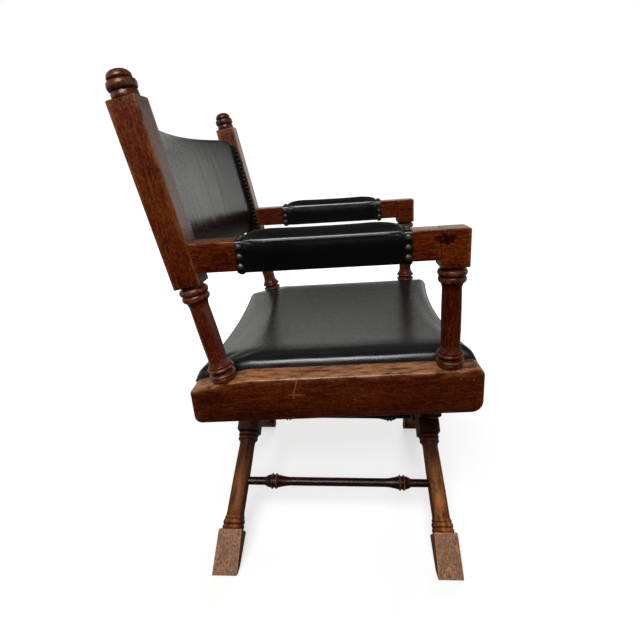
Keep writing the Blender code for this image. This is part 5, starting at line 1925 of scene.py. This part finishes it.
@dataclass
class Hardware:
    """Bolt heads, cap nuts and screw heads."""

    finishes: Finishes
    bolt: Head = Head(0.0105, 0.0055)
    nut: Head = Head(0.0099, 0.0075, False)
    screw: Head = Head(0.0045, 0.0022)
    screw_along: float = 0.085
    cleat: float = 0.036
    spin: Place = (0.28, 0.33, 0.90)

    def _seat(self, head: Head, name: str, place: Place, outward: Place, body: str, node: str) -> None:
        """Seat one head in place of its bolt, nut or screw.

        Args:
            head: Shape of the head.
            name: Piece name.
            place: Middle of the head's underside.
            outward: Unit direction away from the wood.
            body: Body that it moves with.
            node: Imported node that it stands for.
        """
        axis = np.array(outward)
        first = np.cross(axis, np.array(self.spin))
        first /= np.linalg.norm(first)
        points = head.grid() @ np.stack([first, np.cross(axis, first), axis]) + np.array(place)
        skin = Skin(name)
        skin.add_grid(points, points, np.zeros(points.shape[:2] + (4,)))
        stand_in(skin.build(self.finishes.steel, HEAD_SHARP), body, node)

    def build(self) -> None:
        """Make every head: hinge bolts and cleat screws on both sides, bolts and nuts at the crossings."""
        half = SIZES.leg_stock / 2 + SIZES.gap
        screw_x = SIZES.inner_face - 2 * SIZES.gap - self.cleat
        for end in End:
            out, back = (0.0, end.outward, 0.0), (0.0, -end.outward, 0.0)
            outer, inner = end.plane + end.outward * half, end.plane - end.outward * half
            screw_y = end.plane - end.outward * (half + self.screw_along)
            for side in Side:
                body, node = f"{side.label}_frame", f"{side.label}_{end.label}_hinge_bolt"
                place = (side.sign * SIZES.hinge_x, outer, SIZES.hinge_height)
                self._seat(self.bolt, f"{node}_head", place, out, body, node)
                node = f"{side.label}_{end.label}_cleat_screw"
                place = (side.sign * screw_x, screw_y, SIZES.hinge_height)
                self._seat(self.screw, f"{node}_head", place, (-side.sign, 0.0, 0.0), body, node)
            body, node = "left_foot_legs", f"{end.label}_crossing_bolt"
            self._seat(self.bolt, f"{node}_head", (0.0, outer, SIZES.crossing_height), out, body, node)
            name, node = f"{end.label}_crossing_cap_nut", f"{end.label}_crossing_nut"
            self._seat(self.nut, name, (0.0, inner, SIZES.crossing_height), back, body, node)


@dataclass(frozen=True)
class Lamp:
    """Square area light, in watts; without gloss it gives no reflection."""

    name: str
    place: Place
    target: Place
    power: float
    size: float = 1.4
    glossy: bool = True

    def hang(self) -> None:
        """Hang the light and turn it to its target."""
        data = bpy.data.lights.new(self.name, "AREA")
        data.size = self.size
        data.energy = self.power
        lamp = place_object(self.name, data)
        lamp.location = self.place
        lamp.rotation_euler = (Vector(self.target) - Vector(self.place)).to_track_quat("-Z", "Y").to_euler()
        lamp.visible_glossy = self.glossy


@dataclass
class Studio:
    """Pale floor, soft light from above the camera, and the camera."""

    position: Place = (-0.8953, -0.0401, 0.7682)
    forward: Place = (0.9497, 0.0253, -0.3122)
    upward: Place = (0.3122, 0.0045, 0.9500)
    focal_px: float = 430.12
    principal_px: Span = (331.14, 305.88)
    frame_px: float = 640.0
    sensor_mm: float = 36.0
    wall: float = 1.0
    wall_top: Span = (0.05, 0.45)
    wall_turn: Span = (-0.25, 0.45)
    ceiling: float = 0.15
    ends: float = 0.95
    ends_turn: Span = (0.45, 0.90)
    ends_top: Span = (0.25, 0.85)
    near_side: float = 0.022
    room_tint: Colour = (1.0, 1.01, 0.94)
    floor_reach: float = 14.0
    floor_fade: Span = (0.5, 2.2)
    floor_grey: float = 0.38
    floor_glow: float = 0.60
    floor_bounce: Span = (0.022, 0.28)
    bounce_turn: Span = (-0.45, 0.15)
    lamps: tuple[Lamp, ...] = (Lamp("key", (-2.1, 0.3, 2.5), (-0.2, 0.0, 0.45), 108.0),
                               Lamp("fill", (2.2, -0.5, 1.9), (0.2, 0.0, 0.45), 42.0, glossy=False))

    def floor(self) -> None:
        """Lay a wide pale floor; away from the chair it runs out into the white backdrop."""
        reach = self.floor_reach
        mesh = bpy.data.meshes.new("floor")
        mesh.from_pydata([(-reach, -reach, 0.0), (reach, -reach, 0.0), (reach, reach, 0.0),
                          (-reach, reach, 0.0)], [], [(0, 1, 2, 3)])
        material, graph, shader = blank_material("pale_floor")
        seen = graph.node("LightPath").outputs["Is Camera Ray"]
        place = graph.node("TexCoord").outputs["Object"]
        beyond = graph.ramp(graph.node("SeparateXYZ", {0: place}).outputs["X"], *self.bounce_turn)
        bounce = graph.mix(beyond, *(tint(WHITE, share) for share in self.floor_bounce))
        colour = graph.mix(seen, bounce, tint(WHITE, self.floor_grey))
        distance = graph.node("VectorMath", {0: place}, operation="LENGTH").outputs["Value"]
        fade = graph.ramp(distance, *self.floor_fade)
        glow = graph.plus(self.floor_glow, graph.times(fade, 1.0 - self.floor_glow))
        graph.wire(shader, {"Base Color": colour, "Roughness": 0.9, "Specular IOR Level": 0.0,
                            "Emission Color": tint(WHITE), "Emission Strength": graph.times(seen, glow)})
        mesh.materials.append(material)
        floor = place_object("floor", mesh)

    def light(self) -> None:
        """Set a white backdrop that lights the chair from the far side, and two large soft lights.

        Apart from what the camera sees directly, the backdrop is bright on the far side up to
        the height of a wall, softly bright ahead of and behind the chair, dim above and dark on
        the camera's side. A fill light on the far side lights that side without a reflection.
        """
        world = bpy.data.worlds.new("studio")
        bpy.context.scene.world = world
        world.use_nodes = True
        graph = Graph(world.node_tree)
        direction = graph.node("TexCoord").outputs["Generated"]
        parts = graph.node("SeparateXYZ", {0: direction}).outputs
        wall = graph.less(1.0, graph.ramp(parts["Z"], *self.wall_top))
        lit = graph.plus(self.ceiling, graph.times(wall, self.wall - self.ceiling))
        room = graph.plus(self.near_side, graph.times(graph.ramp(parts["X"], *self.wall_turn), lit))
        aside = graph.ramp(graph.math("ABSOLUTE", parts["Y"]), *self.ends_turn)
        ends = graph.times(aside, graph.less(1.0, graph.ramp(parts["Z"], *self.ends_top)))
        room = graph.math("MAXIMUM", room, graph.times(ends, self.ends))
        seen = graph.node("LightPath").outputs["Is Camera Ray"]
        colour = graph.mix(seen, tint(self.room_tint), tint(WHITE))
        graph.wire(world.node_tree.nodes["Background"],
                   {"Color": colour, "Strength": graph.math("MAXIMUM", room, seen)})
        for lamp in self.lamps:
            lamp.hang()

    def camera(self) -> None:
        """Stand the camera where the photograph was taken, with its focal length and shift."""
        data = bpy.data.cameras.new("camera")
        data.sensor_width = self.sensor_mm
        data.lens = self.focal_px / self.frame_px * self.sensor_mm
        data.shift_x = (self.frame_px / 2 - self.principal_px[0]) / self.frame_px
        data.shift_y = (self.principal_px[1] - self.frame_px / 2) / self.frame_px
        data.clip_start = 0.01
        ahead = Vector(self.forward).normalized()
        right = ahead.cross(Vector(self.upward)).normalized()
        turn = Matrix((right, right.cross(ahead), -ahead)).transposed().to_4x4()
        camera = place_object("camera", data)
        camera.matrix_world = Matrix.Translation(self.position) @ turn
        bpy.context.scene.camera = camera

    def build(self) -> None:
        """Set the whole stage, with plain display colours so that white stays white."""
        bpy.context.scene.view_settings.view_transform = "Standard"
        self.floor()
        self.light()
        self.camera()


def dress_hidden(finishes: Finishes) -> None:
    """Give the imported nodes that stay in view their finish.

    Args:
        finishes: Materials.
    """
    for name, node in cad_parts.items():
        if not node.hide_render:
            node.data.materials.clear()
            node.data.materials.append(finishes.hidden_wood)
            LOG.info("%s keeps its packed shape", name)


def main() -> None:
    """Build the chair's pieces in order, then the stage."""
    logging.basicConfig(level=logging.INFO, format="%(name)s: %(message)s")
    Studio().build()
    finishes = Finishes.make()
    pad, back = ArmPad(), Back()
    for side in Side:
        side_frame = SideFrame(side, finishes)
        side_frame.rail()
        side_frame.front_post()
        side_frame.rear_post()
        side_frame.finial()
        side_frame.arm()
        pad.build(side, finishes)
        side_frame.pad_nails(pad)
        side_frame.back_edge(back)
    for side in Side:
        legs = LegPair(side, finishes)
        for end in End:
            legs.leg(end)
        legs.stretcher()
    Hardware(finishes).build()
    Seat().build(finishes)
    back.build(finishes)
    dress_hidden(finishes)


if __name__ == "__main__":
    main()
